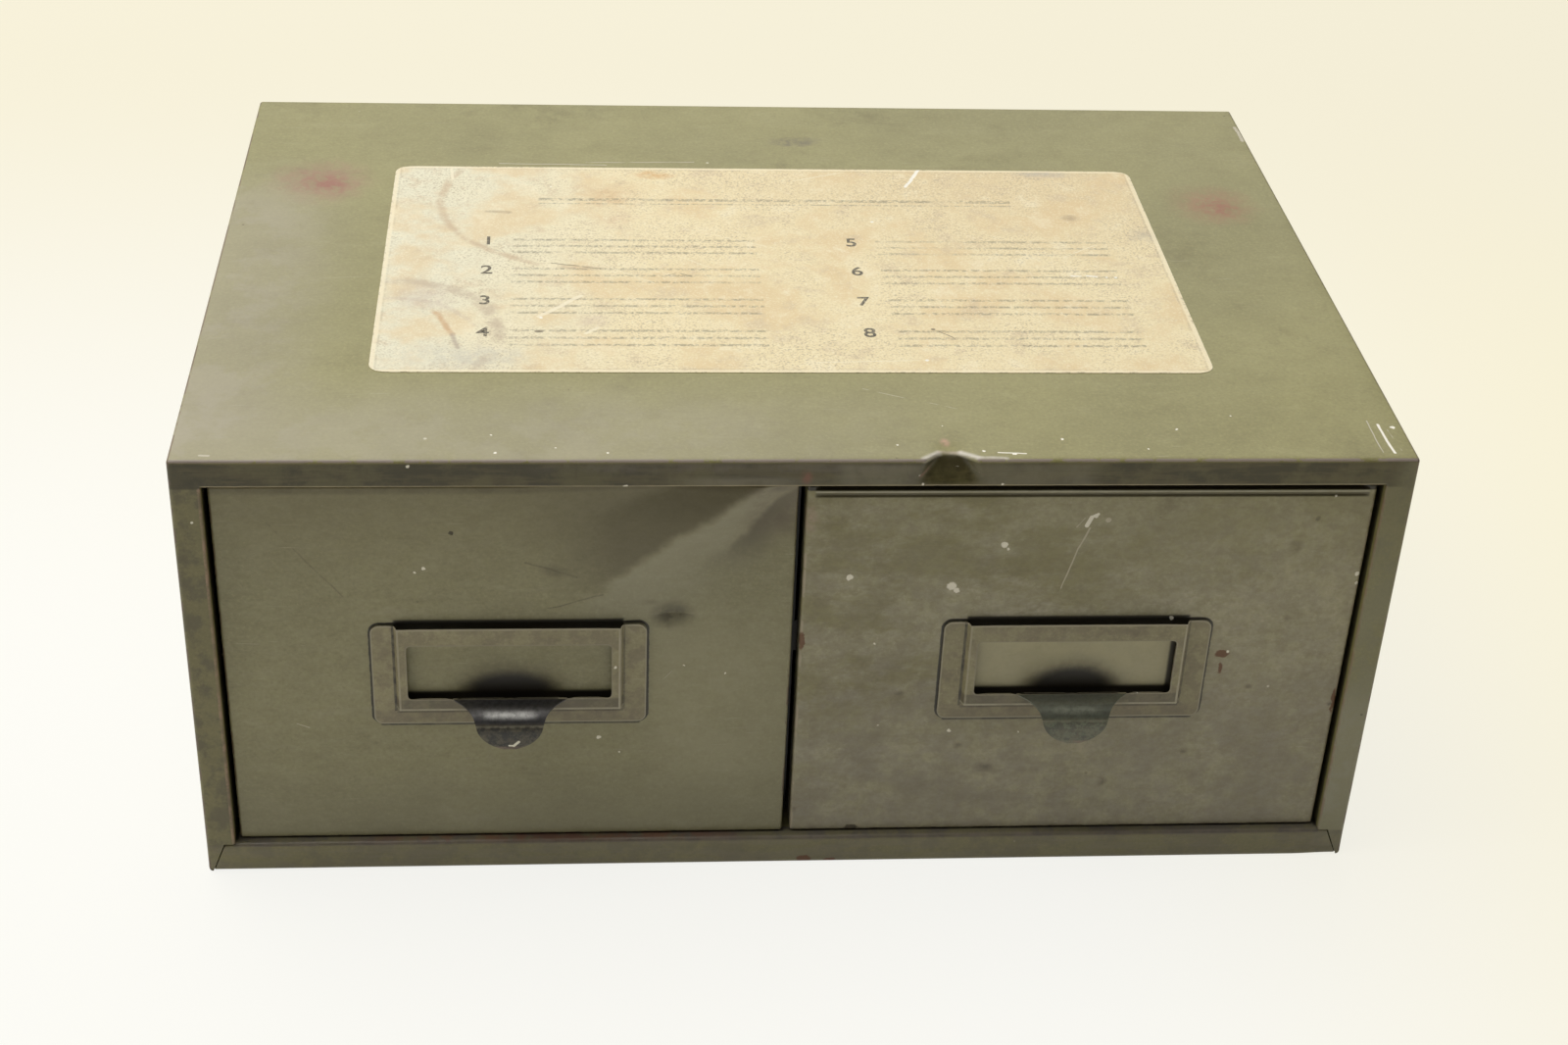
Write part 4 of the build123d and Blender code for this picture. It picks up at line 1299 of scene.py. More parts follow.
@dataclass(frozen=True)
class Zone:
    """A patch of colour between limits along the axes, each with a soft edge, broken up by noise.

    A limit is an axis, where the patch starts, where it ends, and the width of its soft edge, in millimetres.
    """

    limits: tuple[tuple[str, float, float, float], ...]
    colour: Colour
    amount: float = 1.0
    patchy: float = 0.0
    size: float = 6.0
    streak: float = 1.0

    def mask(self, graph: Graph) -> Socket:
        """The patch's mask: a rise and a fall along each axis, times a share of noise drawn out across it.

        Args:
            graph: the material's nodes.

        Returns:
            The mask.
        """
        result: Socket | float = self.amount
        for axis, start, end, soft in self.limits:
            value, half = getattr(graph, axis), soft / 2
            if start > -FAR:
                result = graph.product(result, graph.ramp(value, (start - half) * MM, (start + half) * MM))
            if end < FAR:
                result = graph.product(result, graph.ramp(value, (end + half) * MM, (end - half) * MM))
        if self.patchy > 0.0:
            drawn = graph.stretched((1.0 / self.streak, 1.0, 1.0)) if self.streak > 1.0 else None
            noise = graph.ramp(graph.noise(self.size, *COARSE, position=drawn), 0.44, 0.58)
            result = graph.product(result, graph.partly(noise, self.patchy))
        return result


@dataclass(frozen=True)
class Border:
    """A line along a rounded rectangle drawn on the front, such as the painted shade and dirt round a plate,
    in millimetres.
    """

    centre: tuple[float, float]
    half: tuple[float, float]
    corner: float
    offset: float
    width: float
    colour: Colour
    amount: float = 0.9

    def mask(self, graph: Graph) -> Socket:
        """The line's mask, from the distance to the rounded rectangle.

        The distance is the length of the offset beyond the corner's centres, or the larger offset where it is
        inside them, less the corner's radius.

        Args:
            graph: the material's nodes.

        Returns:
            The mask.
        """
        across, up = (graph.minus(graph.away(value, middle * MM), (half - self.corner) * MM)
                      for value, middle, half in zip((graph.x, graph.z), self.centre, self.half))
        beyond = graph.diagonal(graph.largest(across, 0.0), graph.largest(up, 0.0))
        inner = graph.math("MINIMUM", graph.largest(across, up), 0.0)
        distance = graph.away(graph.plus(beyond, inner), (self.corner + self.offset) * MM)
        wander = graph.ramp(graph.noise(5.0, *COARSE), 0.25, 0.65)
        width = graph.plus(graph.product(wander, self.width * 0.6 * MM), self.width * 0.35 * MM)
        near = graph.minus(distance, graph.product(width, 0.5))
        return graph.product(graph.ramp(near, 0.14 * MM, -0.10 * MM), self.amount)


@dataclass(frozen=True)
class Edge:
    """A straight edge where two planes meet, each an axis and a place, on one side or on both hands."""

    first: tuple[str, float]
    second: tuple[str, float]
    both_hands: bool = False

    def distance(self, graph: Graph) -> Socket:
        """Distance from the edge in metres: the root of the two planes' squared distances.

        Args:
            graph: the material's nodes.

        Returns:
            The distance.
        """
        offsets = []
        for axis, place in (self.first, self.second):
            value = getattr(graph, axis)
            if self.both_hands and axis == "x":
                value = graph.math("ABSOLUTE", value)
            offsets.append(graph.minus(value, place * MM))
        return graph.diagonal(*offsets)


@dataclass(frozen=True)
class EdgeWear:
    """Paint worn off along some edges: a band whose width comes and goes along them."""

    edges: tuple[Edge, ...]
    width: float
    colour: Colour
    strength: float = 1.0
    level: float = 0.5
    size: float = 14.0

    def mask(self, graph: Graph) -> Socket:
        """The band's mask: distance under a width that noise varies, where the level is the share worn.

        Args:
            graph: the material's nodes.

        Returns:
            The mask.
        """
        distance = reduce(lambda first, second: graph.math("MINIMUM", first, second),
                          (edge.distance(graph) for edge in self.edges))
        noise = graph.noise(self.size, *COARSE)
        share = graph.ramp(noise, 0.62 - 0.35 * self.level, 0.74 - 0.35 * self.level)
        fade = graph.ramp(graph.minus(distance, graph.product(share, self.width * MM)), 0.0, -0.35 * MM)
        return graph.product(fade, self.strength)


@dataclass(frozen=True)
class Blush:
    """A round stain in the paint, patchy inside."""

    mark: Mark
    colour: Colour
    amount: float
    patchy: float = 0.8
    ragged: float = 5.0
    edge: float = 0.85

    def mask(self, graph: Graph) -> Socket:
        """The stain's mask: a soft oval with a wandering outline, times fine noise.

        Args:
            graph: the material's nodes.

        Returns:
            The mask.
        """
        area = self.mark.mask(graph, graph.wobble(9.0, self.ragged), self.edge)
        grain = graph.ramp(graph.noise(3.2, 5.0, 0.7), 0.38, 0.58)
        return graph.product(area, graph.partly(grain, self.patchy), self.amount)


@dataclass(frozen=True)
class Fan:
    """Painted light and shade of a dented facet on the front: a tone sharp along one ray from a corner that
    fades round towards another.

    The rays are angles in degrees, from level to the left and down. The reach is where the shade starts,
    where it holds to and where it ends, in millimetres from the corner.
    """

    corner: tuple[float, float]
    sharp: float
    faded: float
    reach: tuple[float, float, float]
    colour: Colour
    amount: float
    crisp: float = 3.0

    def mask(self, graph: Graph) -> Socket:
        """The shade's mask, from the angle and distance of the place about the corner.

        Args:
            graph: the material's nodes.

        Returns:
            The mask.
        """
        across = graph.minus(self.corner[0] * MM, graph.x)
        down = graph.minus(self.corner[1] * MM, graph.z)
        sway = graph.product(graph.minus(graph.noise(16.0, 3.0, 0.6, seed=6.0), 0.5), 0.17)
        angle = graph.plus(graph.math("ARCTAN2", down, across), sway)
        distance = graph.diagonal(across, down)
        sharp, faded = math.radians(self.sharp), math.radians(self.faded)
        crisp = math.copysign(math.radians(self.crisp), faded - sharp)
        start, hold, end = (value * MM for value in self.reach)
        return graph.product(graph.ramp(angle, sharp - 0.5 * crisp, sharp + 0.5 * crisp),
                             graph.ramp(angle, faded, sharp), graph.ramp(distance, 0.3 * start, start),
                             graph.ramp(distance, end, hold), self.amount)


@dataclass(frozen=True)
class Ring:
    """The ring that a wet cup leaves: a thin line round a circle, stronger in places, in millimetres."""

    centre: tuple[float, float]
    radius: float
    width: float
    colour: Colour
    amount: float
    right_end: float = FAR

    def mask(self, graph: Graph) -> Socket:
        """The ring's mask, from the distance to its circle, as far as its right end.

        Args:
            graph: the material's nodes.

        Returns:
            The mask.
        """
        distance = graph.diagonal(graph.minus(graph.x, self.centre[0] * MM),
                                  graph.minus(graph.y, self.centre[1] * MM))
        sway = graph.product(graph.minus(graph.noise(24.0, 3.0, 0.6, seed=42.0), 0.5), 6.0 * MM)
        off = graph.away(graph.plus(distance, sway), self.radius * MM)
        strong = graph.ramp(graph.noise(9.0, 6.0, 0.70, seed=2.0), 0.36, 0.60)
        shown = graph.ramp(graph.x, self.right_end * MM, (self.right_end - 14.0) * MM)
        line = graph.ramp(off, self.width * MM, 0.15 * self.width * MM)
        return graph.product(line, strong, shown, self.amount)


@dataclass(frozen=True)
class Enamel:
    """Old stoved enamel on steel, mottled, with grime, hairlines, specks, chips, stains and worn edges, and
    patches that include painted shade and highlights.
    """

    name: str
    colour: Colour = (0.290, 0.270, 0.138)
    grime_colour: Colour = (0.085, 0.067, 0.040)
    grime: float = 0.25
    roughness: float = 0.40
    specks: float = 0.5
    hairlines: float = 0.5
    chips: tuple[Mark, ...] = ()
    pale: tuple[Mark, ...] = ()
    rusty: tuple[Mark, ...] = ()
    dark: tuple[Mark, ...] = ()
    patches: tuple[Blush | Zone | Border | EdgeWear | Fan, ...] = ()
    smears: float = 0.3
    smudges: float = 0.0
    bare: tuple[Zone, ...] = ()
    chip_colour: Colour = (0.95, 0.92, 0.83)
    pit_colour: Colour = (0.045, 0.034, 0.024)
    dark_colour: Colour = (0.050, 0.040, 0.026)
    smudge_colour: Colour = (0.085, 0.068, 0.045)
    pale_colour: Colour = (0.62, 0.58, 0.48)
    rust_colour: Colour = (0.150, 0.058, 0.028)

    def gather(self, graph: Graph, marks: tuple[Mark, ...], ragged: float) -> Socket | None:
        """One mask for a group of marks, or None without any: spots are ragged and lines only sway.

        Args:
            graph: the material's nodes.
            marks: the marks.
            ragged: how far a spot's outline strays, in millimetres.

        Returns:
            The mask, or None.
        """
        if not marks:
            return None
        torn = graph.wobble(2.2 * ragged, ragged, seed=3.0)
        swaying = graph.wobble(11.0, 0.6, seed=4.0)
        return graph.largest(*(mark.mask(graph, swaying if mark.end else torn, 0.30) for mark in marks))

    def scattered(self, graph: Graph, cell: float, size: float, seed: float, ragged: float = 0.25) -> Socket:
        """Small spots here and there: within a size of the points of a loose scatter.

        Args:
            graph: the material's nodes.
            cell: distance between the points, in millimetres.
            size: a spot's half width, in millimetres.
            seed: moves the pattern.
            ragged: how far the outlines stray, in millimetres.

        Returns:
            The mask.
        """
        cells = graph.node("ShaderNodeTexVoronoi", settings={"voronoi_dimensions": "4D"}, W=seed,
                           Vector=graph.wobble(3.6 * ragged, ragged), Scale=1.0 / (cell * MM))
        return graph.ramp(cells.outputs["Distance"], size / cell, 0.45 * size / cell)

    def hair(self, graph: Graph, turn: Place, seed: float) -> Socket:
        """Hairline scratches along a direction: noise stretched forty times that way, above a high level.

        Args:
            graph: the material's nodes.
            turn: angles that turn the direction.
            seed: moves the pattern.

        Returns:
            The mask.
        """
        drawn = graph.stretched((0.025, 1.0, 1.0), turn, graph.wobble(60.0, 4.0, seed=seed))
        fine = graph.noise(0.55, 1.0, 0.5, position=drawn, seed=seed)
        where = graph.noise(38.0, 2.0, 0.5, seed=seed + 5.0)
        return graph.product(graph.ramp(fine, 0.70, 0.78), graph.ramp(where, 0.50, 0.66))

    def mottled(self, graph: Graph, middle: Socket) -> Socket:
        """The enamel's own colour, lighter and deeper in several sizes of noise, some wiped sideways.

        Args:
            graph: the material's nodes.
            middle: noise of a middle size.

        Returns:
            The colour.
        """
        broad = graph.noise(85.0, 3.0, 0.5, seed=1.0)
        fine = graph.noise(1.0, 3.0, 0.6, seed=3.0)
        wiped = graph.stretched((0.35, 1.0, 1.0), turn=(0.0, 0.12, 0.0))
        smear = graph.noise(6.5, 6.0, 0.72, distortion=0.3, position=wiped, seed=9.0)
        colour = graph.mix(graph.ramp(broad, 0.32, 0.68), tinted(self.colour, 0.90),
                           tinted(self.colour, 1.08))
        mottles = ((middle, 0.42, 0.70, 0.22, (0.72, 0.70, 0.74)),
                   (smear, 0.52, 0.70, self.smears, (1.42, 1.40, 1.75)),
                   (smear, 0.48, 0.32, self.smears, (0.60, 0.58, 0.52)),
                   (fine, 0.50, 0.28, 0.38, (0.66, 0.66, 0.62)),
                   (fine, 0.50, 0.72, 0.42, (1.36, 1.33, 1.45)))
        for noise, start, end, amount, factors in mottles:
            colour = graph.tone(colour, graph.ramp(noise, start, end), amount, tinted(self.colour, *factors))
        return colour

    def material(self) -> bpy.types.Material:
        """The finish as a material.

        The colour is the enamel's, mottled, then grime, hairlines, patches and marks over it. The height is a
        fine orange peel over slow waves, less the depth of what is worn away.

        Returns:
            The material.
        """
        graph = Graph.material(self.name)
        middle = graph.noise(14.0, 4.0, 0.6, seed=2.0)
        colour = self.mottled(graph, middle)
        blotch = graph.noise(34.0, 6.0, 0.68, distortion=0.4, seed=4.0)
        smudge = graph.noise(7.0, 5.0, 0.7, seed=5.0)
        dirt = graph.product(graph.ramp(blotch, 0.52, 0.70), graph.ramp(smudge, 0.38, 0.62), self.grime * 1.6)
        dirt = graph.math("MINIMUM", dirt, 0.85)
        colour = graph.mix(dirt, colour, self.grime_colour)
        turns = ((0.0, 0.0, 0.35), (0.6, 0.3, 1.2), (0.2, 1.1, -0.5))
        hair = graph.largest(*(self.hair(graph, turn, seed) for seed, turn in enumerate(turns, 11)))
        hair = graph.product(hair, self.hairlines)
        colour = graph.tone(colour, hair, 0.55, self.pale_colour)
        if self.smudges:
            blots = graph.largest(self.scattered(graph, 24.0, 3.4, 24.0, 2.6),
                                  self.scattered(graph, 11.0, 1.3, 25.0, 1.1))
            blots = graph.product(blots, graph.ramp(smudge, 0.30, 0.47))
            colour = graph.tone(colour, blots, self.smudges, self.smudge_colour)
        for patch in self.patches:
            colour = graph.mix(patch.mask(graph), colour, patch.colour)
        metal: Socket | float = 0.0
        for zone in self.bare:
            bare = zone.mask(graph)
            clouds = graph.mix(graph.ramp(graph.noise(1.6, 5.0, 0.7, seed=8.0), 0.36, 0.60),
                               tinted(zone.colour, 0.62), zone.colour)
            colour = graph.mix(bare, colour, clouds)
            metal = graph.largest(metal, bare)
        specks = graph.product(self.scattered(graph, 13.0, 0.75, 21.0), self.specks)
        pits = graph.product(self.scattered(graph, 9.0, 0.62, 22.0), self.specks)
        colour = graph.mix(pits, colour, self.pit_colour)
        colour = graph.mix(specks, colour, self.chip_colour)
        depth = graph.largest(hair, specks, pits)
        groups = ((self.dark, 0.9, self.dark_colour, 0.85), (self.rusty, 1.1, self.rust_colour, 0.85),
                  (self.pale, 0.30, self.pale_colour, 0.8), (self.chips, 0.62, self.chip_colour, 1.0))
        for marks, ragged, tint, amount in groups:
            mask = self.gather(graph, marks, ragged)
            if mask is not None:
                colour = graph.tone(colour, mask, amount, tint)
                depth = graph.largest(depth, mask)
        peel = graph.noise(1.9, 2.0, 0.5, seed=31.0)
        waves = graph.noise(48.0, 1.0, 0.4, seed=32.0)
        under = graph.bump(peel, 0.030, graph.bump(waves, 1.1))
        normal = graph.bump(graph.minus(1.0, depth), 0.05, under)
        rough = graph.plus(self.roughness - 0.05, graph.product(middle, 0.12))
        rough = graph.plus(rough, graph.product(graph.largest(dirt, depth), 0.22))
        if self.bare:
            rough = graph.plus(rough, graph.product(metal, 0.04))
            return graph.finish(colour, rough, normal, metallic=graph.product(metal, 0.85))
        return graph.finish(colour, rough, normal)


@dataclass(frozen=True)
class PlatedSteel:
    """Zinc-plated steel, slightly brushed, with dull grey patches."""

    name: str
    colour: Colour = (0.60, 0.59, 0.56)

    def material(self) -> bpy.types.Material:
        """The finish as a material: bright metal clouded by a duller one, with fine brushing.

        Returns:
            The material.
        """
        graph = Graph.material(self.name)
        cloud = graph.noise(6.0, 4.0, 0.6, seed=1.0)
        colour = graph.mix(graph.ramp(cloud, 0.42, 0.68), self.colour, tinted(self.colour, 0.62))
        brushed = graph.noise(0.35, 2.0, 0.5, position=graph.stretched((0.06, 1.0, 1.0)), seed=2.0)
        rough = graph.plus(0.28, graph.product(cloud, 0.16))
        return graph.finish(colour, rough, graph.bump(brushed, 0.008), metallic=1.0)


@dataclass(frozen=True)
class Rubber:
    """Black moulded rubber with a faint bloom."""

    name: str
    colour: Colour = (0.022, 0.021, 0.020)

    def material(self) -> bpy.types.Material:
        """The finish as a material: near black with a greyer bloom and a fine grain.

        Returns:
            The material.
        """
        graph = Graph.material(self.name)
        bloom = graph.noise(3.0, 4.0, 0.6, seed=1.0)
        colour = graph.mix(graph.ramp(bloom, 0.45, 0.75), self.colour, (0.060, 0.058, 0.055))
        grain = graph.noise(0.4, 2.0, 0.5, seed=2.0)
        return graph.finish(colour, 0.72, graph.bump(grain, 0.02))


@dataclass(frozen=True)
class Rules:
    """Faded ruled lines in blocks of three, in two columns, with a double rule above, in millimetres."""

    block: float = 21.0
    spacing: float = 4.6
    first: float = 19.0
    blocks: int = 4
    thick: float = 1.25
    columns: tuple[tuple[float, float], ...] = ((-86.0, -6.0), (34.0, 112.0))
    heading: tuple[float, float] = (-78.0, 84.0)
    heading_y: float = 50.0
    colour: Colour = (0.200, 0.180, 0.125)
    amount: float = 0.62

    def between(self, graph: Graph, value: Socket, low: float, high: float, soft: float) -> Socket:
        """A band along an axis: a rise at low and a fall at high."""
        return graph.product(graph.ramp(value, (low - soft) * MM, (low + soft) * MM),
                             graph.ramp(value, (high + soft) * MM, (high - soft) * MM))

    def mask(self, graph: Graph) -> Socket:
        """The lines' mask, from remainders of the depth: the place in a block, then in a line's spacing.

        Args:
            graph: the material's nodes.

        Returns:
            The mask.
        """
        low = self.first - (self.blocks - 1) * self.block - 2.5 * self.spacing
        phase = graph.math("FLOORED_MODULO", graph.minus(graph.y, low * MM), self.block * MM)
        off = graph.away(graph.math("FLOORED_MODULO", phase, self.spacing * MM), 0.5 * self.spacing * MM)
        lines = graph.product(graph.ramp(off, 0.8 * self.thick * MM, 0.3 * self.thick * MM),
                              graph.ramp(phase, 3.05 * self.spacing * MM, 2.95 * self.spacing * MM),
                              self.between(graph, graph.y, low, self.first + 0.5 * self.spacing, 0.2))
        sides = graph.largest(*(self.between(graph, graph.x, *column, 0.4) for column in self.columns))
        head = graph.largest(self.between(graph, graph.y, self.heading_y - 1.0, self.heading_y + 1.0, 0.15),
                             self.between(graph, graph.y, self.heading_y - 3.6, self.heading_y - 2.9, 0.12))
        head = graph.product(head, self.between(graph, graph.x, *self.heading, 0.4))
        worn = graph.product(graph.ramp(graph.noise(1.2, 3.0, 0.7, seed=41.0), 0.40, 0.60),
                             graph.ramp(graph.noise(24.0, 3.0, 0.6, seed=42.0), 0.28, 0.50))
        return graph.product(graph.largest(graph.product(lines, sides), head), worn, self.amount)


@dataclass(frozen=True)
class LabelPaper:
    """Aged varnished paper: cream, browner in patches, ring stained and flaked, with faded rules."""

    name: str
    colour: Colour = (0.830, 0.715, 0.450)
    grey: Colour = (0.760, 0.750, 0.600)
    brown: Colour = (0.720, 0.580, 0.340)
    edge: Colour = (0.900, 0.810, 0.590)
    patches: tuple[Blush | Zone | Ring | Rules, ...] = ()
    pale: tuple[Mark, ...] = ()
    white: tuple[Mark, ...] = ()
    dark: tuple[Mark, ...] = ()

    def lines(self, graph: Graph, marks: tuple[Mark, ...]) -> Socket:
        """One mask for a group of scratches and spots that sway a little."""
        position = graph.wobble(5.0, 0.6, seed=5.0)
        return graph.largest(*(mark.mask(graph, position) for mark in marks))

    def border(self, graph: Graph, label: TopLabel) -> Socket:
        """How far inside the label's edge a place is, in metres.

        Args:
            graph: the material's nodes.
            label: the label.

        Returns:
            The distance.
        """
        spans = ((graph.x, label.left, label.right), (graph.y, label.front, label.back))
        insets = (graph.minus(0.5 * (high - low) * MM, graph.away(value, 0.5 * (high + low) * MM))
                  for value, low, high in spans)
        return graph.math("MINIMUM", *insets)

    def material(self) -> bpy.types.Material:
        """The finish as a material.

        The paper's colour goes from grey at the left to brown at the back and right, with mottles, the
        stipple of crazed varnish, stains, rules and scratches over it, and a paler edge with flakes lost.

        Returns:
            The material.
        """
        graph = Graph.material(self.name)
        wide = graph.split(graph.wobble(40.0, 28.0, seed=7.0))
        colour = graph.tone(self.colour, graph.ramp(wide[0], -30.0 * MM, -125.0 * MM), 0.9, self.grey)
        back = graph.product(graph.ramp(wide[1], -20.0 * MM, 80.0 * MM),
                             graph.ramp(wide[0], -60.0 * MM, 80.0 * MM))
        colour = graph.tone(colour, back, 0.8, self.brown)
        middle = graph.noise(9.0, 6.0, 0.70, seed=2.0)
        cloud = graph.noise(26.0, 4.0, 0.6, seed=4.0)
        fibre = graph.noise(0.75, 3.0, 0.65, seed=3.0)
        stipple = graph.product(graph.ramp(fibre, 0.50, 0.66), graph.ramp(cloud, 0.62, 0.38))
        mottles = ((graph.ramp(cloud, 0.48, 0.64), 0.62, (0.720, 0.545, 0.300)),
                   (graph.ramp(middle, 0.50, 0.68), 0.60, (0.640, 0.520, 0.350)),
                   (graph.ramp(middle, 0.48, 0.30), 0.55, (0.900, 0.820, 0.600)),
                   (stipple, 0.80, (0.460, 0.385, 0.270)),
                   (graph.ramp(fibre, 0.50, 0.34), 0.45, (0.930, 0.870, 0.700)))
        for mask, amount, tint in mottles:
            colour = graph.tone(colour, mask, amount, tint)
        for patch in self.patches:
            colour = graph.mix(patch.mask(graph), colour, patch.colour)
        inside = self.border(graph, TopLabel())
        colour = graph.tone(colour, graph.ramp(inside, 1.7 * MM, 1.2 * MM), 0.65, self.edge)
        groove = graph.product(graph.ramp(inside, 1.5 * MM, 1.8 * MM),
                               graph.ramp(inside, 2.4 * MM, 2.0 * MM), 0.30)
        colour = graph.tone(colour, groove, graph.ramp(middle, 0.35, 0.60), (0.420, 0.360, 0.240))
        flakes = graph.noise(1.6, 4.0, 0.7, seed=8.0)
        reach = graph.product(graph.ramp(cloud, 0.38, 0.70), 1.4 * MM)
        lost = graph.product(graph.ramp(inside, reach, 0.0), graph.ramp(flakes, 0.50, 0.58))
        colour = graph.tone(colour, lost, 0.75, (0.420, 0.350, 0.220))
        marks = ((self.dark, (0.130, 0.105, 0.070), 0.80), (self.pale, (0.900, 0.830, 0.640), 0.75),
                 (self.white, (0.950, 0.930, 0.860), 0.92))
        scratched: Socket | float = 0.0
        for group, tint, amount in marks:
            if group:
                mask = self.lines(graph, group)
                colour = graph.tone(colour, mask, amount, tint)
                scratched = graph.largest(scratched, mask)
        height = graph.minus(graph.product(fibre, 0.5), graph.largest(scratched, lost))
        rough = graph.plus(0.40, graph.product(middle, 0.18))
        return graph.finish(colour, rough, graph.bump(height, 0.035), specular=0.45)


@dataclass(frozen=True)
class PrintInk:
    """Dark printing ink, rubbed thin so that the paper shows through in places."""

    name: str
    colour: Colour = (0.105, 0.095, 0.070)
    paper: Colour = (0.560, 0.490, 0.340)

    def material(self) -> bpy.types.Material:
        """The finish as a material: ink that gives way to the paper's tone in fine noise.

        Returns:
            The material.
        """
        graph = Graph.material(self.name)
        fine = graph.ramp(graph.noise(0.9, 4.0, 0.7, seed=1.0), 0.46, 0.66)
        broad = graph.ramp(graph.noise(18.0, 2.0, 0.5, seed=2.0), 0.30, 0.70)
        worn = graph.product(fine, graph.plus(0.45, graph.product(broad, 0.5)))
        colour = graph.mix(worn, self.colour, self.paper)
        return graph.finish(colour, 0.5, graph.bump(fine, 0.01), specular=0.4)


@dataclass(frozen=True)
class FloorPaper:
    """Cream paper under the chest: near white to the camera and in reflections, with a faint shadow."""

    name: str = "cream_sweep"
    colour: Colour = (0.90, 0.86, 0.74)
    seen: Colour = (1.0, 0.999, 0.965)
    seen_right: Colour = (0.975, 0.915, 0.680)
    seen_behind: Colour = (0.920, 0.870, 0.690)
    share_seen: float = 0.84

    def material(self) -> bpy.types.Material:
        """The finish as a material: a diffuse sheet, mixed with a glow for what the camera or gloss sees.

        Returns:
            The material.
        """
        graph = Graph.material(self.name)
        base = graph.shader("ShaderNodeBsdfDiffuse", Color=self.colour)
        tint = graph.mix(graph.ramp(graph.x, 0.06, 0.42), self.seen, self.seen_right)
        tint = graph.mix(graph.ramp(graph.y, -0.05, 0.55), tint, self.seen_behind)
        glow = graph.shader("ShaderNodeEmission", Color=tint)
        path = graph.node("ShaderNodeLightPath")
        rays = ("Is Camera Ray", "Is Glossy Ray", "Is Transmission Ray")
        share = graph.product(graph.largest(*(path.outputs[name] for name in rays)), self.share_seen)
        graph.output("ShaderNodeOutputMaterial", graph.blend(share, base, glow))
        return graph.owner


@dataclass(frozen=True)
class SoftLight:
    """A large soft lamp: where it hangs, what it points at, its width and height in metres, and its power."""

    name: str
    place: Place
    aim: Place
    size: tuple[float, float]
    power: float
    colour: Colour = (1.0, 0.975, 0.905)

    def build(self) -> None:
        """Hangs the lamp."""
        data = bpy.data.lights.new(self.name, "AREA")
        data.shape = "RECTANGLE"
        data.size, data.size_y = self.size
        data.energy = self.power
        data.color = self.colour
        lamp = bpy.data.objects.new(self.name, data)
        bpy.context.scene.collection.objects.link(lamp)
        lamp.location = self.place
        lamp.rotation_euler = (Vector(self.aim) - Vector(self.place)).to_track_quat("-Z", "Y").to_euler()


@dataclass
class Studio:
    """Camera, lamps and floor. The camera was fitted to the chest's corners in the photograph."""

    camera_place: Place = (-0.064836, -0.728506, 0.518004)
    lens: float = 57.36
    sensor: float = 36.0
    tilt: float = 0.5684
    yaw: float = 0.0974
    roll: float = 0.0490
    floor_size: float = 7.0
    floor_drop: float = -0.02
    world_colour: Colour = (1.0, 0.985, 0.96)
    world_low: float = 0.04
    world_high: float = 0.34
    world_lean: Place = (0.0, 0.75, 0.66)
    backdrop_front: Colour = (0.965, 0.955, 0.880)
    backdrop_behind: Colour = (0.890, 0.845, 0.690)
    lamps: tuple[SoftLight, ...] = field(default_factory=lambda: (
        SoftLight("overhead_window", (-0.9, 0.3, 2.1), (0.0, 0.0, 0.1), (2.4, 2.4), 53.0),
        SoftLight("back_window", (-0.15, 1.75, 1.15), (0.0, 0.0, 0.15), (2.4, 0.9), 8.0),
    ))

    def camera(self) -> None:
        """Places the camera from its place, tilt, yaw and roll."""
        look = Vector((math.sin(self.yaw) * math.cos(self.tilt), math.cos(self.yaw) * math.cos(self.tilt),
                       -math.sin(self.tilt)))
        flat = Vector((math.cos(self.yaw), -math.sin(self.yaw), 0.0))
        upright = flat.cross(look)
        right = flat * math.cos(self.roll) + upright * math.sin(self.roll)
        up = -flat * math.sin(self.roll) + upright * math.cos(self.roll)
        data = bpy.data.cameras.new("camera")
        data.lens = self.lens
        data.sensor_width = self.sensor
        camera = bpy.data.objects.new("camera", data)
        bpy.context.scene.collection.objects.link(camera)
        turn = Matrix((right, up, -look)).transposed().to_4x4()
        camera.matrix_world = Matrix.Translation(self.camera_place) @ turn
        bpy.context.scene.camera = camera

    def floor(self) -> None:
        """Lays the floor: a fine sheet of quads."""
        places = np.linspace(-0.5, 0.5, 15) * self.floor_size / MM
        floor = make_piece("floor", Surface.flat((0.0, 0.0, self.floor_drop), RIGHT, BACK, places, places))
        floor.data.materials.append(FloorPaper().material())

    def world(self) -> None:
        """Fills the room with soft light, dim towards the camera's side and brighter behind and above."""
        graph = Graph(bpy.data.worlds.new("room"), "Generated")
        lean = graph.vector("DOT_PRODUCT", graph.position, self.world_lean, output=1)
        light = graph.plus(self.world_low, graph.product(graph.ramp(lean, -0.35, 0.95),
                                                         self.world_high - self.world_low))
        room = graph.shader("ShaderNodeBackground", Color=self.world_colour, Strength=light)
        seen = graph.shader("ShaderNodeBackground",
                            Color=graph.mix(graph.y, self.backdrop_front, self.backdrop_behind))
        camera_ray = graph.node("ShaderNodeLightPath").outputs["Is Camera Ray"]
        graph.output("ShaderNodeOutputWorld", graph.blend(camera_ray, room, seen))
        bpy.context.scene.world = graph.owner

    def build(self) -> None:
        """Sets up the whole studio."""
        self.camera()
        self.floor()
        self.world()
        for lamp in self.lamps:
            lamp.build()
        bpy.context.scene.view_settings.view_transform = "Standard"


def zone(colour: Colour, amount: float = 1.0, patchy: float = 0.0, size: float = 6.0, streak: float = 1.0,
         **limits: Span) -> Zone:
    """A zone from its limits by the names of their axes: start, end and soft edge of each."""
    return Zone(tuple((axis, *limit) for axis, limit in limits.items()), colour, amount, patchy, size, streak)


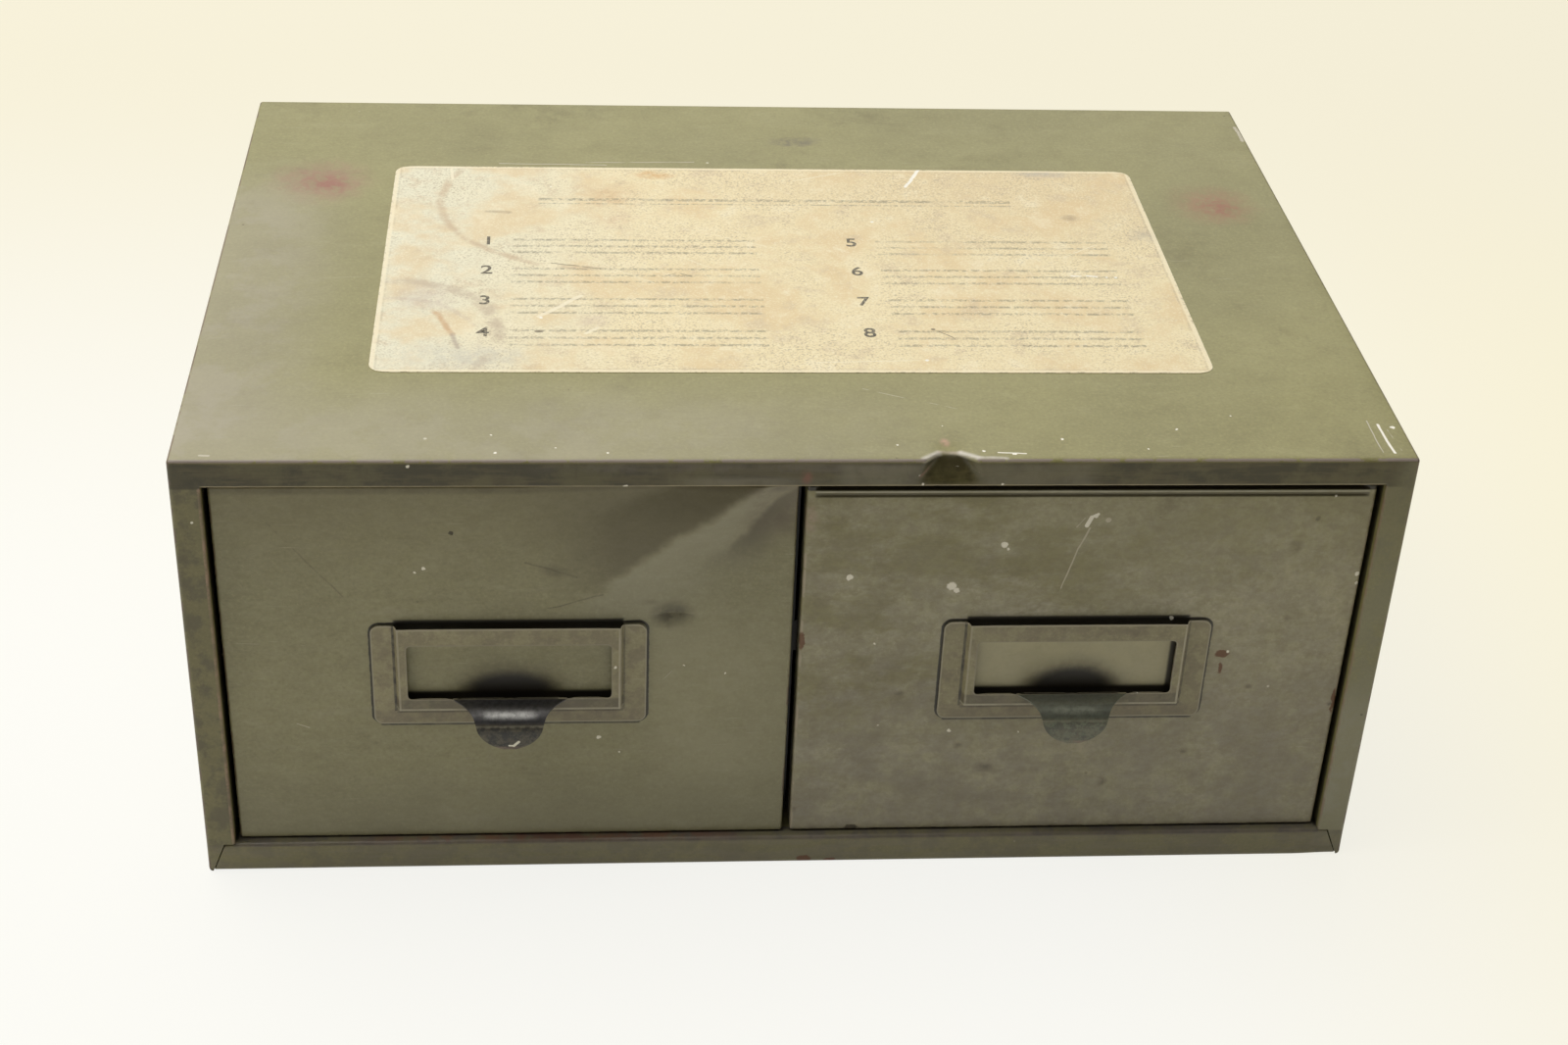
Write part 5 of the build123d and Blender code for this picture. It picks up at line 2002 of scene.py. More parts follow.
def on_level(height: float, *rows: tuple[float, ...]) -> tuple[Mark, ...]:
    """Marks on a level plane: rows of x, y and size, and for a line the x and y of its end."""
    return tuple(Mark((x, y, height), size, (*end, height) if end else None) for x, y, size, *end in rows)


def on_top(*rows: tuple[float, ...]) -> tuple[Mark, ...]:
    """Marks on the top of the case."""
    return on_level(TOP_Z, *rows)


def on_label(*rows: tuple[float, ...]) -> tuple[Mark, ...]:
    """Marks on the label."""
    return on_level(LABEL_Z, *rows)


def on_face(*rows: tuple[float, ...], y: float = FACE_Y) -> tuple[Mark, ...]:
    """Marks on an upright plane at depth y: rows of x, z and size, and for a line the x and z of its end."""
    return tuple(Mark((x, y, z), size, (end[0], y, end[1]) if end else None) for x, z, size, *end in rows)


# Spans along the axes that several zones share.
RIM: Span = (-FAR, -120.4, 0.8)
RIM_SKIN: Span = (-FAR, -119.0, 1.0)
LIP_SKIN: Span = (-FAR, -120.2, 0.6)
JAMB_SKIN: Span = (-FAR, -120.2, 0.8)
JAMB_DEPTH: Span = (-118.9, -108.0, 0.8)
UPPER_RIM: Span = (139.9, 148.3, 0.8)
NOTCH_SIDES: Span = (139.9, 147.6, 1.6)
BASE_LIP: Span = (9.4, 11.0, 0.6)
ABOVE_FOOT: Span = (8.0, FAR, 6.0)
JAMB: Span = (10.4, 140.0, 1.0)
ON_TOP: Span = (148.9, FAR, 0.2)
LEFT_RIM: Span = (-FAR, -170.0, 2.0)
RIGHT_RIM: Span = (170.0, FAR, 2.0)
EVERYWHERE: Span = (-FAR, FAR, 1.0)

CASE_ENAMEL = Enamel(
    "case_enamel", colour=(0.290, 0.270, 0.114), grime=0.16, smears=0.22,
    patches=(
        zone((0.098, 0.084, 0.052), 0.78, 0.45, 8.0, x=LEFT_RIM, y=RIM, z=ABOVE_FOOT),
        zone((0.215, 0.212, 0.155), 0.60, 0.4, 14.0, x=RIGHT_RIM, y=RIM, z=ABOVE_FOOT),
        zone((0.115, 0.102, 0.052), 0.55, 0.3, 14.0, x=RIGHT_RIM, y=RIM, z=(118.0, FAR, 50.0)),
        zone((0.340, 0.330, 0.250), 0.75, 0.3, 14.0, x=RIGHT_RIM, y=RIM, z=(8.0, 62.0, 30.0)),
        # Painted shade: the top rim darker and browner than the side rims.
        zone((0.040, 0.032, 0.008), 0.95, 0.20, 14.0, z=UPPER_RIM, y=(-FAR, -112.0, 0.8),
             x=(-FAR, 175.0, 9.0)),
        zone((0.160, 0.132, 0.056), 0.36, 1.0, 2.6, 9.0, z=UPPER_RIM, y=(-FAR, -119.0, 0.8),
             x=(-178.0, 175.0, 6.0)),
        zone((0.150, 0.125, 0.095), 0.50, 0.7, 8.0, z=(145.2, 148.2, 2.4), y=RIM, x=(-72.0, 30.0, 50.0)),
        zone((0.230, 0.210, 0.150), 0.60, 0.3, 9.0, z=(139.9, 143.4, 2.4), y=RIM, x=(-34.0, 2.0, 22.0)),
        zone((0.140, 0.120, 0.082), 0.66, 0.4, 9.0, z=(-1.0, 10.2, 0.8), y=RIM),
        zone((0.230, 0.205, 0.150), 0.34, 1.0, 2.6, 7.0, z=(1.0, 9.6, 1.0), y=RIM),
        zone((0.130, 0.115, 0.110), 0.85, 0.35, 9.0, z=BASE_LIP, y=(-FAR, -116.0, 0.8),
             x=(-171.6, 171.6, 1.0)),
        zone(WORN_RED, 0.6, 0.9, 8.0, z=BASE_LIP, y=(-120.9, -116.0, 0.8), x=(-125.0, -20.0, 40.0)),
        # Painted sheen: the top lighter and greyer towards its left and its front, with worn paint there too.
        zone((0.400, 0.360, 0.300), 0.52, 0.35, 20.0, y=(-119.6, 60.0, 60.0), x=(-FAR, -150.0, 40.0),
             z=ON_TOP),
        zone((0.400, 0.365, 0.290), 0.46, 0.30, 20.0, y=(-FAR, -85.0, 40.0), x=(-FAR, 10.0, 150.0), z=ON_TOP),
        Blush(Mark((-151.5, 63.4, TOP_Z), 22.0), (0.350, 0.175, 0.130), 0.72, 0.6),
        Blush(Mark((-150.5, 61.4, TOP_Z), 11.0), (0.300, 0.090, 0.070), 0.60),
        Blush(Mark((156.0, 48.9, TOP_Z), 20.0), (0.330, 0.170, 0.095), 0.80, 0.6),
        Blush(Mark((157.0, 47.0, TOP_Z), 10.0), (0.290, 0.095, 0.060), 0.55),
        Blush(Mark((12.9, 99.4, TOP_Z), 11.0, tall=0.5), (0.130, 0.110, 0.085), 0.75),
        Blush(Mark((0.4, RIM_Y, 143.6), 2.6, tall=1.3), WORN_RED, 0.8, ragged=1.0),
        Blush(Mark((41.4, -111.3, 149.0), 2.0, tall=1.5), (0.600, 0.350, 0.270), 0.65, ragged=0.8),
        zone((0.230, 0.212, 0.150), 0.55, 0.3, 9.0, z=NOTCH_SIDES, y=RIM_SKIN, x=(10.0, 33.5, 7.0)),
        zone((0.200, 0.182, 0.120), 0.55, 0.3, 9.0, z=NOTCH_SIDES, y=RIM_SKIN, x=(50.5, 84.0, 7.0)),
        # The first four lines are painted highlights on the raised lips beside the notch, over worn paint.
        *(Blush(Mark(start, width, end), colour, *rest) for start, end, width, colour, *rest in (
            ((34.2, -120.2, 149.0), (38.8, -116.4, 148.8), 3.2, (0.700, 0.660, 0.600), 0.85, 0.2, 0.5, 1.0),
            ((38.8, -115.9, 148.6), (45.2, -115.9, 148.6), 2.0, (0.600, 0.500, 0.430), 0.60, 0.3, 0.5, 1.0),
            ((45.2, -116.2, 148.8), (49.8, -119.8, 149.0), 3.2, (0.700, 0.660, 0.600), 0.85, 0.2, 0.5, 1.0),
            ((49.8, -119.9, 149.2), (58.0, -120.3, TOP_Z), 2.6, (0.640, 0.600, 0.540), 0.75, 0.4, 0.6, 1.0),
            ((37.6, -117.0, 147.6), (33.4, -120.9, 143.8), 1.6, (0.240, 0.130, 0.085), 0.8, 0.4, 0.8, 1.0),
            ((46.4, -117.0, 147.4), (51.4, -120.9, 144.4), 1.6, (0.230, 0.130, 0.085), 0.8, 0.4, 0.8, 1.0),
            ((46.8, -117.6, 147.0), (50.4, -120.6, 145.0), 0.7, (0.620, 0.540, 0.360), 0.9, 0.4, 0.5, 0.8))),
        # Painted shade in the hollow of the notch.
        Blush(Mark((42.0, -117.0, 144.6), 7.2, tall=0.42), (0.045, 0.034, 0.014), 0.7, 0.2, 1.0, 0.9),
        EdgeWear((Edge(("y", RIM_Y), ("z", TOP_Z)),), 0.95, WORN_PURPLE, 0.85, 0.75, 10.0),
        EdgeWear((Edge(("x", 180.0), ("z", TOP_Z), True),), 0.9, (0.190, 0.130, 0.105), 0.8, 0.7, 12.0),
        EdgeWear((Edge(("x", 180.0), ("y", RIM_Y), True), Edge(("x", 180.0), ("z", 0.0), True)), 0.95,
                 (0.150, 0.100, 0.075), 0.8, 0.55, 12.0),
        # Painted highlight along the lower bend of the top rim.
        zone(RIM_BEND_HIGHLIGHT, 0.80, 0.3, 12.0, z=(139.9, 140.9, 0.3), y=LIP_SKIN, x=(-171.0, 171.0, 1.0)),
        zone((0.400, 0.270, 0.190), 0.85, 0.7, 5.0, x=(-172.1, -170.9, 0.3), y=JAMB_SKIN, z=JAMB),
        zone(WORN_RED, 0.40, 0.6, 5.0, x=(170.9, 171.8, 0.3), y=JAMB_SKIN, z=JAMB),
        # Painted shade: the jambs near black in the gaps beside the drawers.
        zone(DEEP_SHADE_AND_DIRT, 0.85, x=(170.4, 172.4, 0.4), y=JAMB_DEPTH, z=(10.0, 140.8, 1.0)),
        zone(DEEP_SHADE_AND_DIRT, 0.85, x=(-172.4, -170.4, 0.4), y=JAMB_DEPTH, z=(10.0, 140.8, 1.0)),
        zone((0.240, 0.205, 0.160), 0.60, 0.7, 7.0, z=(9.5, 10.5, 0.4), y=LIP_SKIN, x=(-171.0, 171.0, 2.0)),
        EdgeWear((Edge(("z", 0.0), ("y", RIM_Y)),), 0.9, (0.090, 0.070, 0.050), 0.7, 0.7, 15.0),
    ),
    chips=on_top((-88.4, -116.9, 0.55), (-56.5, -116.9, 0.55), (-89.8, -107.0, 0.4), (-71.3, -114.2, 0.35),
                 (76.0, -109.5, 0.6), (111.1, -103.9, 0.45), (100.4, -115.1, 0.4), (51.9, -116.1, 0.6),
                 (27.2, -112.7, 0.4), (176.6, -102.8, 0.9), (41.5, -102.0, 0.3), (129.0, -96.0, 0.3))
    + on_face((-112.8, 147.4, 0.6), (-174.3, 128.9, 0.5), (-51.5, 140.6, 0.8), y=RIM_Y)
    + on_top((172.6, -101.1, 1.0, 173.2, -117.5), (56.0, -116.9, 0.6, 64.1, -117.5), (60.6, -117.6, 0.8))
    + on_face((34.2, 141.0, 0.6), (57.5, 141.0, 0.5), (33.2, 144.0, 0.5), y=RIM_Y),
    pale=on_top((169.7, -99.0, 0.5, 169.8, -117.5), (174.8, -104.0, 0.45, 175.6, -116.0),
                (-170.9, -118.0, 1.0, -168.6, -118.2), (178.2, 116.0, 1.6, 178.6, 104.0),
                (-62.0, 80.5, 0.5, -24.0, 81.5), (-92.0, 79.0, 0.6, -55.0, 78.4),
                (20.0, -80.0, 0.3, 52.0, -94.0))
    + (Mark((39.4, -118.6, 145.9), 0.35, (44.6, -118.6, 145.5)),),
    rusty=(Mark((6.0, RIM_Y, 1.4), 2.6, tall=0.6), Mark((14.2, RIM_Y, 0.8), 2.0, tall=0.5)),
)


def plate_borders(plate: PullPlate) -> tuple[Zone | Border | Blush, ...]:
    """Painted shade and dirt on a drawer's face round its label holder: a dark line round it, black in its
    open top, under its foot and behind its window, and a shadow above its pull.

    Args:
        plate: the holder.

    Returns:
        The patches of painted shade and dirt.
    """
    window = plate.window_half + 2
    centre, low = plate.centre, plate.window_bottom
    top, bottom = plate.top, plate.bottom
    return (
        # A dark line round the plate: painted contact shade, with dirt.
        Border((centre, plate.middle), (plate.half, plate.half_high), plate.corner, 0.35, 1.0, DEEP_SHADE_AND_DIRT,
               0.92),
        # Painted shade: black in the open top, in a line under the foot, and on the face behind the window's
        # lower edge.
        zone(DEEP_SHADE_AND_DIRT, 0.97, x=plate.across(plate.pocket_half, 1.0), z=(top - 2.5, top + 1.6, 1.0)),
        zone(DEEP_SHADE_AND_DIRT, 0.88, 0.2, 5.0, x=plate.across(39.0, 1.0), z=(bottom - 1.35, bottom, 0.5)),
        zone(DEEP_SHADE_AND_DIRT, 0.96, x=plate.across(window, 1.0), z=(plate.pocket_bottom, low + 1.1, 1.4)),
        # A painted shadow that the pull casts up the face, with finger grime.
        Blush(Mark((centre, FACE_Y, low + 1.5), 22.0, tall=0.60), (0.066, 0.048, 0.028), 0.85, 0.25, 1.6),
        Blush(Mark((centre, FACE_Y, low + 1.0), 17.0, tall=0.52), DEEP_SHADE_AND_DIRT, 1.0, 0.0, 0.8, 0.5),
    )


def front_enamel(side: Side) -> Enamel:
    """The finish of a drawer's face, with its own wear and its painted light and shade.

    Args:
        side: which drawer.

    Returns:
        The finish.
    """
    plate = PullPlate(side)
    borders = plate_borders(plate)
    ends = tuple(Edge(("x", side.value * place), ("y", FACE_Y)) for place in (1.2, 169.8))
    foot = (Edge(("z", 10.8), ("y", FACE_Y)),)
    foot_colour = (0.100, 0.075, 0.050)
    if side is Side.LEFT:
        return Enamel(
            "left_face_enamel", colour=(0.290, 0.275, 0.155), grime=0.14, specks=0.35, hairlines=0.7,
            smears=0.30,
            patches=(
                # Painted shade: the face darker towards its top.
                zone((0.225, 0.200, 0.105), 0.55, 0.3, 30.0, z=(118.0, FAR, 34.0)),
                zone((0.400, 0.380, 0.270), 0.12, 1.0, 3.0, 2.0, z=EVERYWHERE),
                zone((0.150, 0.128, 0.076), 0.12, 1.0, 1.8, 1.5, z=EVERYWHERE),
                # Painted light on the facet of the blow that tilts down, and painted shade on the facets that
                # tilt up, over the dent in the sheet.
                Fan(BLOW, 36.4, 60.0, (40.0, 92.0, 128.0), (0.410, 0.395, 0.310), 0.46, 3.4),
                Fan(BLOW, 36.0, 4.0, (66.0, 88.0, 118.0), (0.118, 0.099, 0.054), 0.70, 3.0),
                Fan(BLOW, 45.9, 58.0, (44.0, 58.0, 78.0), (0.108, 0.091, 0.052), 0.72, 2.6),
                Blush(Mark((-6.5, FACE_Y, 137.6), 5.4, tall=0.42), (0.075, 0.055, 0.040), 0.70, 0.3, 1.6),
                zone((0.110, 0.090, 0.045), 0.6, 0.3, 8.0, z=(136.6, FAR, 1.6), x=(-FAR, -16.0, 20.0)),
                # Painted shade in the punch mark, and a painted shadow above it to the left.
                Blush(Mark((-36.8, -117.4, 93.6), 8.6, tall=0.66), (0.052, 0.041, 0.023), 0.95, 0.35, 2.6,
                      0.8),
                Blush(Mark((-44.0, FACE_Y, 97.8), 5.0, tall=0.34), (0.080, 0.064, 0.038), 0.60, 0.4, 1.4,
                      0.9),
                Blush(Mark((-72.0, FACE_Y, 109.5), 6.0, tall=0.5), (0.130, 0.110, 0.065), 0.6, 0.4, 2.0),
                *(Blush(mark, (0.110, 0.092, 0.052), amount, 0.5, 1.0, 1.0) for mark, amount in zip(
                    on_face((-73.7, 96.4, 0.9, -57.6, 101.3), (-65.4, 107.8, 1.3, -80.0, 112.6)),
                    (0.62, 0.58))),
                zone((0.390, 0.370, 0.250), 0.50, 0.4, 14.0, x=(-44.0, -3.0, 16.0), z=(30.0, 92.0, 24.0)),
                # Painted shade: the face darker towards its foot.
                zone((0.230, 0.215, 0.135), 0.45, 0.3, 25.0, z=(-FAR, 30.0, 26.0)),
                zone((0.150, 0.115, 0.080), 0.55, 0.6, 6.0, x=(-14.0, FAR, 12.0), z=(122.0, FAR, 10.0)),
                Blush(*on_face((-154.0, 126.9, 0.8, -133.5, 101.3)), (0.140, 0.115, 0.070), 0.55, 0.5, 1.0,
                      1.0),
                EdgeWear(ends, 0.8, (0.150, 0.100, 0.070), 0.75, 0.55, 12.0),
                EdgeWear(foot, 0.8, foot_colour, 0.8, 0.6, 12.0),
            ) + borders,
            chips=on_face((-65.5, 126.8, 0.35), (-20.4, 118.0, 0.35), (-33.3, 75.4, 0.45), (-20.8, 72.4, 0.4),
                          (-13.8, 93.2, 0.35), (-15.4, 88.6, 0.35), (-109.9, 111.0, 0.8), (-58.9, 48.7, 0.9),
                          (-52.6, 42.9, 0.4), (-112.6, 109.6, 0.5)),
            pale=on_face((-9.4, 131.6, 0.35, -6.8, 130.2))
            # A painted highlight along the upper wall of the punch mark.
            + on_face((-42.7, 94.6, 0.6, -31.2, 94.2), y=-118.0)
            + on_face((-149.6, 55.1, 0.4, -146.1, 53.4), (-40.0, 70.0, 0.22, -18.0, 96.0)),
            dark=on_face((-101.6, 123.5, 0.8)),
        )
    bead = (3.6, 167.6, 1.0)
    low, high, window = plate.window_bottom, plate.window_top, plate.centre + plate.window_half
    return Enamel(
        "right_face_enamel", colour=(0.415, 0.390, 0.257), grime=0.32, specks=0.7, hairlines=0.8, smears=0.46,
        smudges=1.0, grime_colour=(0.130, 0.110, 0.080),
        patches=(
            # Painted shade: the face darker towards its top.
            zone((0.275, 0.255, 0.120), 0.60, 0.6, 26.0, z=(112.0, FAR, 44.0)),
            zone((0.240, 0.212, 0.165), 0.50, 0.9, 22.0, z=(-FAR, 72.0, 60.0)),
            zone((0.140, 0.118, 0.086), 0.26, 1.0, 5.0, z=(-FAR, 62.0, 40.0)),
            zone((0.440, 0.410, 0.350), 0.16, 1.0, 5.0, z=(-FAR, 128.0, 30.0)),
            zone((0.225, 0.205, 0.082), 0.60, 1.0, 15.0, 2.2, x=(-FAR, 100.0, 60.0), z=(56.0, FAR, 30.0)),
            zone((0.430, 0.410, 0.345), 0.16, 1.0, 5.0, 1.6, z=(-FAR, 118.0, 60.0)),
            zone((0.120, 0.096, 0.064), 0.16, 1.0, 2.2, 1.4, z=EVERYWHERE),
            zone((0.190, 0.165, 0.115), 0.26, 1.0, 9.0, z=(20.0, 125.0, 40.0), x=(-FAR, 60.0, 50.0)),
            zone((0.190, 0.165, 0.115), 0.20, 1.0, 9.0, z=(60.0, FAR, 50.0), x=(110.0, FAR, 40.0)),
            zone((0.500, 0.470, 0.310), 0.82, 0.2, 9.0, z=(low - 4.0, high + 4.0, 2.0),
                 x=plate.across(33.0, 2.0)),
            # Painted shade inside the window's right edge and along the top of the face; below them, painted
            # shade in the groove under the bead and a painted highlight on the bead.
            zone(DEEP_SHADE_AND_DIRT, 0.95, z=(low - 2.0, high - 1.6, 1.2), x=(window - 1.2, window + 4.0, 1.0)),
            zone(DEEP_SHADE_AND_DIRT, 0.95, z=(137.3, FAR, 0.4)),
            zone((0.070, 0.060, 0.030), 0.80, z=(135.0, 136.5, 0.8), x=bead),
            zone((0.470, 0.470, 0.400), 0.75, 0.3, 10.0, z=(136.6, 137.2, 0.3), x=bead),
            Blush(Mark((2.2, FACE_Y, 127.5), 3.6, tall=2.2), (0.430, 0.330, 0.250), 0.85, ragged=2.0),
            *(Blush(Mark((x, FACE_Y, z), size, tall=0.8), (0.100, 0.080, 0.054), 0.70, 0.6, 2.2, 0.9)
              for x, z, size in ((141.0, 66.0, 2.2), (52.0, 44.0, 2.8), (61.0, 36.0, 3.4), (99.0, 29.0, 2.6),
                                 (124.0, 40.0, 2.2), (33.0, 64.0, 2.4), (150.0, 92.0, 2.0))),
            EdgeWear(ends, 1.0, (0.440, 0.380, 0.290), 0.75, 0.50, 9.0),
            EdgeWear(foot, 0.9, foot_colour, 0.8, 0.7, 12.0),
        ) + borders,
        chips=on_face((15.1, 107.1, 1.25), (45.8, 103.8, 1.7), (47.3, 102.2, 1.0), (60.4, 118.4, 1.2),
                      (61.6, 117.0, 0.6), (86.9, 128.4, 0.8), (168.6, 107.5, 0.8),
                      (168.9, 104.2, 0.7), (49.1, 49.9, 0.7), (113.8, 91.7, 0.8), (157.7, 135.0, 0.5),
                      (132.9, 78.9, 0.5), (70.8, 49.0, 0.4), (24.0, 83.0, 0.4), (27.0, 52.0, 0.35),
                      (84.4, 125.0, 1.5, 85.6, 127.9), (85.6, 127.9, 1.1, 87.4, 129.0)),
        pale=on_face((85.3, 124.1, 0.7, 82.5, 116.8), (82.5, 116.8, 0.6, 79.0, 102.8),
                     (79.0, 102.8, 0.4, 77.6, 97.0), (83.6, 127.6, 0.5, 81.4, 124.6), (90.6, 126.9, 1.0)),
        rusty=(Mark((131.3, FACE_Y, 78.2), 2.4, tall=0.7), Mark((131.5, FACE_Y, 73.0), 0.9, tall=2.6),
               Mark((2.0, FACE_Y, 84.0), 1.0, tall=4.0), Mark((168.9, FACE_Y, 60.0), 0.8, tall=7.0)),
        dark=(Mark((20.7, FACE_Y, 11.6), 2.4, tall=0.7),),
    )


@dataclass(frozen=True)
class PullTones:
    """Colours of a pull's shelf, its band of painted highlight and its foot, with its shares of bare metal and
    of mottling.
    """

    shelf: Colour
    band: Colour
    foot: Colour
    metal: float
    mottle: float


# The band is a painted highlight: brighter bare metal across the pull's bend.
PULL_TONES = {
    Side.LEFT: PullTones((0.104, 0.102, 0.108), (0.500, 0.500, 0.490), (0.010, 0.008, 0.006), 0.95, 0.06),
    Side.RIGHT: PullTones((0.150, 0.185, 0.160), (0.300, 0.320, 0.250), (0.085, 0.092, 0.070), 0.60, 0.60),
}


def pocket_lines(half: float) -> tuple[tuple[float, float, Colour, float], ...]:
    """Lines along a pocket's side walls: painted shade at their feet and painted highlights on their
    shoulders.

    Args:
        half: half width of the pocket.

    Returns:
        Start, end, colour and amount of each line, from the pocket's middle.
    """
    return ((-half - 0.65, -half + 0.15, DEEP_SHADE_AND_DIRT, 0.90), (-half + 0.9, -half + 1.5, ARRIS_HIGHLIGHT, 0.55),
            (half - 1.5, half - 0.5, ARRIS_HIGHLIGHT, 0.80), (half - 0.05, half + 0.45, WALL_FOOT_SHADE, 0.70))


def plate_enamel(side: Side) -> Enamel:
    """The finish of a label holder: enamel rubbed off its edges, painted shade and highlights along its
    pocket's walls, and bare dark steel on the pull with a painted highlight across its bend.

    Args:
        side: which drawer.

    Returns:
        The finish.
    """
    plate, pull = PullPlate(side), PULL_TONES[side]
    centre, low = plate.centre, plate.pocket_bottom
    front = FACE_Y - plate.sheet - plate.pocket_raise
    pocket = plate.across(plate.pocket_half, 0.6)
    window_middle = 0.5 * (plate.window_bottom + plate.window_top)
    window_high = 0.5 * (plate.window_top - plate.window_bottom)
    if side is Side.LEFT:
        chips = on_face((-54.0, 77.0, 0.5), y=front) + on_face((-85.8, 55.3, 0.7, -84.4, 55.2),
                                                               (-84.4, 55.2, 1.0, -83.1, 56.7), y=-130.85)
    else:
        chips = on_face((72.0, 60.0, 0.6), (103.0, 71.0, 0.6), (105.6, 66.5, 0.9), y=front)
    return Enamel(
        f"{side.word}_holder_enamel", colour=(0.325, 0.296, 0.178), grime=0.42, specks=0.4, hairlines=0.5,
        grime_colour=(0.150, 0.120, 0.100),
        patches=(
            zone((0.205, 0.172, 0.125), 0.6, 0.6, 6.0, z=(plate.bottom, low, 1.0)),
            zone((0.100, 0.086, 0.056), 0.80, 0.3, 6.0, z=(low, plate.window_bottom, 1.0), x=pocket),
            zone((0.160, 0.130, 0.095), 0.40, 1.0, 5.0, z=EVERYWHERE),
            Border((centre, plate.middle), (plate.half, plate.half_high), plate.corner, -0.15, 0.55,
                   (0.420, 0.390, 0.300), 0.72),
            # Painted shade at the feet of the pocket's walls and painted highlights on their shoulders.
            *(zone(tint, amount, 0.3, 5.0, x=(centre + start, centre + end, 0.3), z=(low - 0.4, FAR, 0.4))
              for start, end, tint, amount in pocket_lines(plate.pocket_half)),
            zone(ARRIS_HIGHLIGHT, 0.82, 0.3, 6.0, z=(low + 0.9, low + 1.6, 0.3), x=pocket),
            zone(WALL_FOOT_SHADE, 0.80, 0.3, 6.0, z=(low - 1.2, low - 0.2, 0.5), x=pocket),
            Border((centre, window_middle), (plate.window_half, window_high), plate.window_corner, 0.15, 0.45,
                   (0.330, 0.300, 0.230), 0.6),
            zone((0.450, 0.400, 0.300), 0.5, 0.7, 6.0, z=(plate.top - 0.5, FAR, 0.5)),
            zone(pull.foot, 0.97, 0.3, 2.2, y=(-FAR, front - 0.4, 0.4), z=(-FAR, 62.2, 1.6)),
            zone((0.330, 0.240, 0.195), 0.62, 0.5, 3.0, y=(-FAR, front - 5.0, 0.5), z=(-FAR, 55.0, 0.6)),
            zone((0.210, 0.235, 0.170), pull.mottle, 1.0, 1.4, y=(-FAR, front - 1.0, 0.4),
                 z=(-FAR, 63.0, 2.0)),
        ),
        bare=(zone(pull.shelf, pull.metal, y=(-FAR, front - 0.25, 0.5), z=(62.4, FAR, 1.4)),
              # Painted highlight: brighter bare metal across the upper bend of the pull.
              zone(pull.band, pull.metal, y=(-FAR, front - 4.0, 1.0), z=(63.8, 65.0, 1.2),
                   x=plate.across(7.0, 5.0))),
        chips=chips,
    )


INNER_ENAMEL = Enamel("inner_enamel", colour=(0.230, 0.214, 0.112), grime=0.20, specks=0.2, hairlines=0.3)
# Painted shade: the partition near black towards its front, where it shows between the drawers.
PARTITION_ENAMEL = Enamel("partition_enamel", colour=(0.200, 0.186, 0.100), grime=0.30, specks=0.2,
                          hairlines=0.2, patches=(zone(DEEP_SHADE_AND_DIRT, 0.96, y=(-FAR, -90.0, 24.0)),))
PLATING = PlatedSteel("zinc_plating")
BUFFER_RUBBER = Rubber("buffer_rubber")


def label_stains() -> tuple[Blush, ...]:
    """The label's stains: rows of x, y, size, depth over width, colour, amount, patchiness and raggedness.

    Returns:
        The stains.
    """
    round_rows = (
        (-38.0, 70.0, 9.0, 0.45, (0.640, 0.370, 0.130), 0.75, 0.6, 4.0),
        (-54.0, 52.0, 15.0, 1.0, (0.660, 0.450, 0.230), 0.60, 0.6, 6.0),
        (-52.0, 34.0, 9.0, 1.0, (0.620, 0.420, 0.260), 0.40, 0.7, 4.0),
        (99.0, 73.0, 14.0, 0.3, (0.480, 0.440, 0.380), 0.70, 0.4, 3.0),
        (103.2, 37.8, 4.6, 0.8, (0.430, 0.330, 0.210), 0.70, 0.5, 1.5),
        (126.0, 24.0, 8.0, 1.0, (0.500, 0.450, 0.350), 0.50, 0.7, 4.0),
        (-113.0, -22.0, 14.0, 1.0, (0.600, 0.510, 0.430), 0.50, 0.6, 5.0),
        (-92.0, -62.0, 20.0, 0.5, (0.560, 0.540, 0.460), 0.50, 0.7, 5.0),
        (-104.0, -60.0, 24.0, 0.5, (0.600, 0.590, 0.500), 0.45, 0.8, 6.0),
        (-60.0, -38.0, 7.0, 1.0, (0.600, 0.480, 0.370), 0.50, 0.6, 3.0),
    )
    streaks = on_label((-109.0, -32.7, 3.2, -103.2, -46.5), (-103.2, -46.5, 2.6, -101.8, -55.0),
                       (-95.0, 40.0, 3.0, -88.0, 39.5))
    finishes = (((0.600, 0.400, 0.220), 0.85, 0.4, 1.2), ((0.420, 0.350, 0.280), 0.75, 0.4, 1.2),
                ((0.430, 0.330, 0.200), 0.70, 0.5, 1.0))
    return (*(Blush(Mark((x, y, LABEL_Z), size, tall=tall), *rest) for x, y, size, tall, *rest in round_rows),
            *(Blush(mark, *finish) for mark, finish in zip(streaks, finishes)))


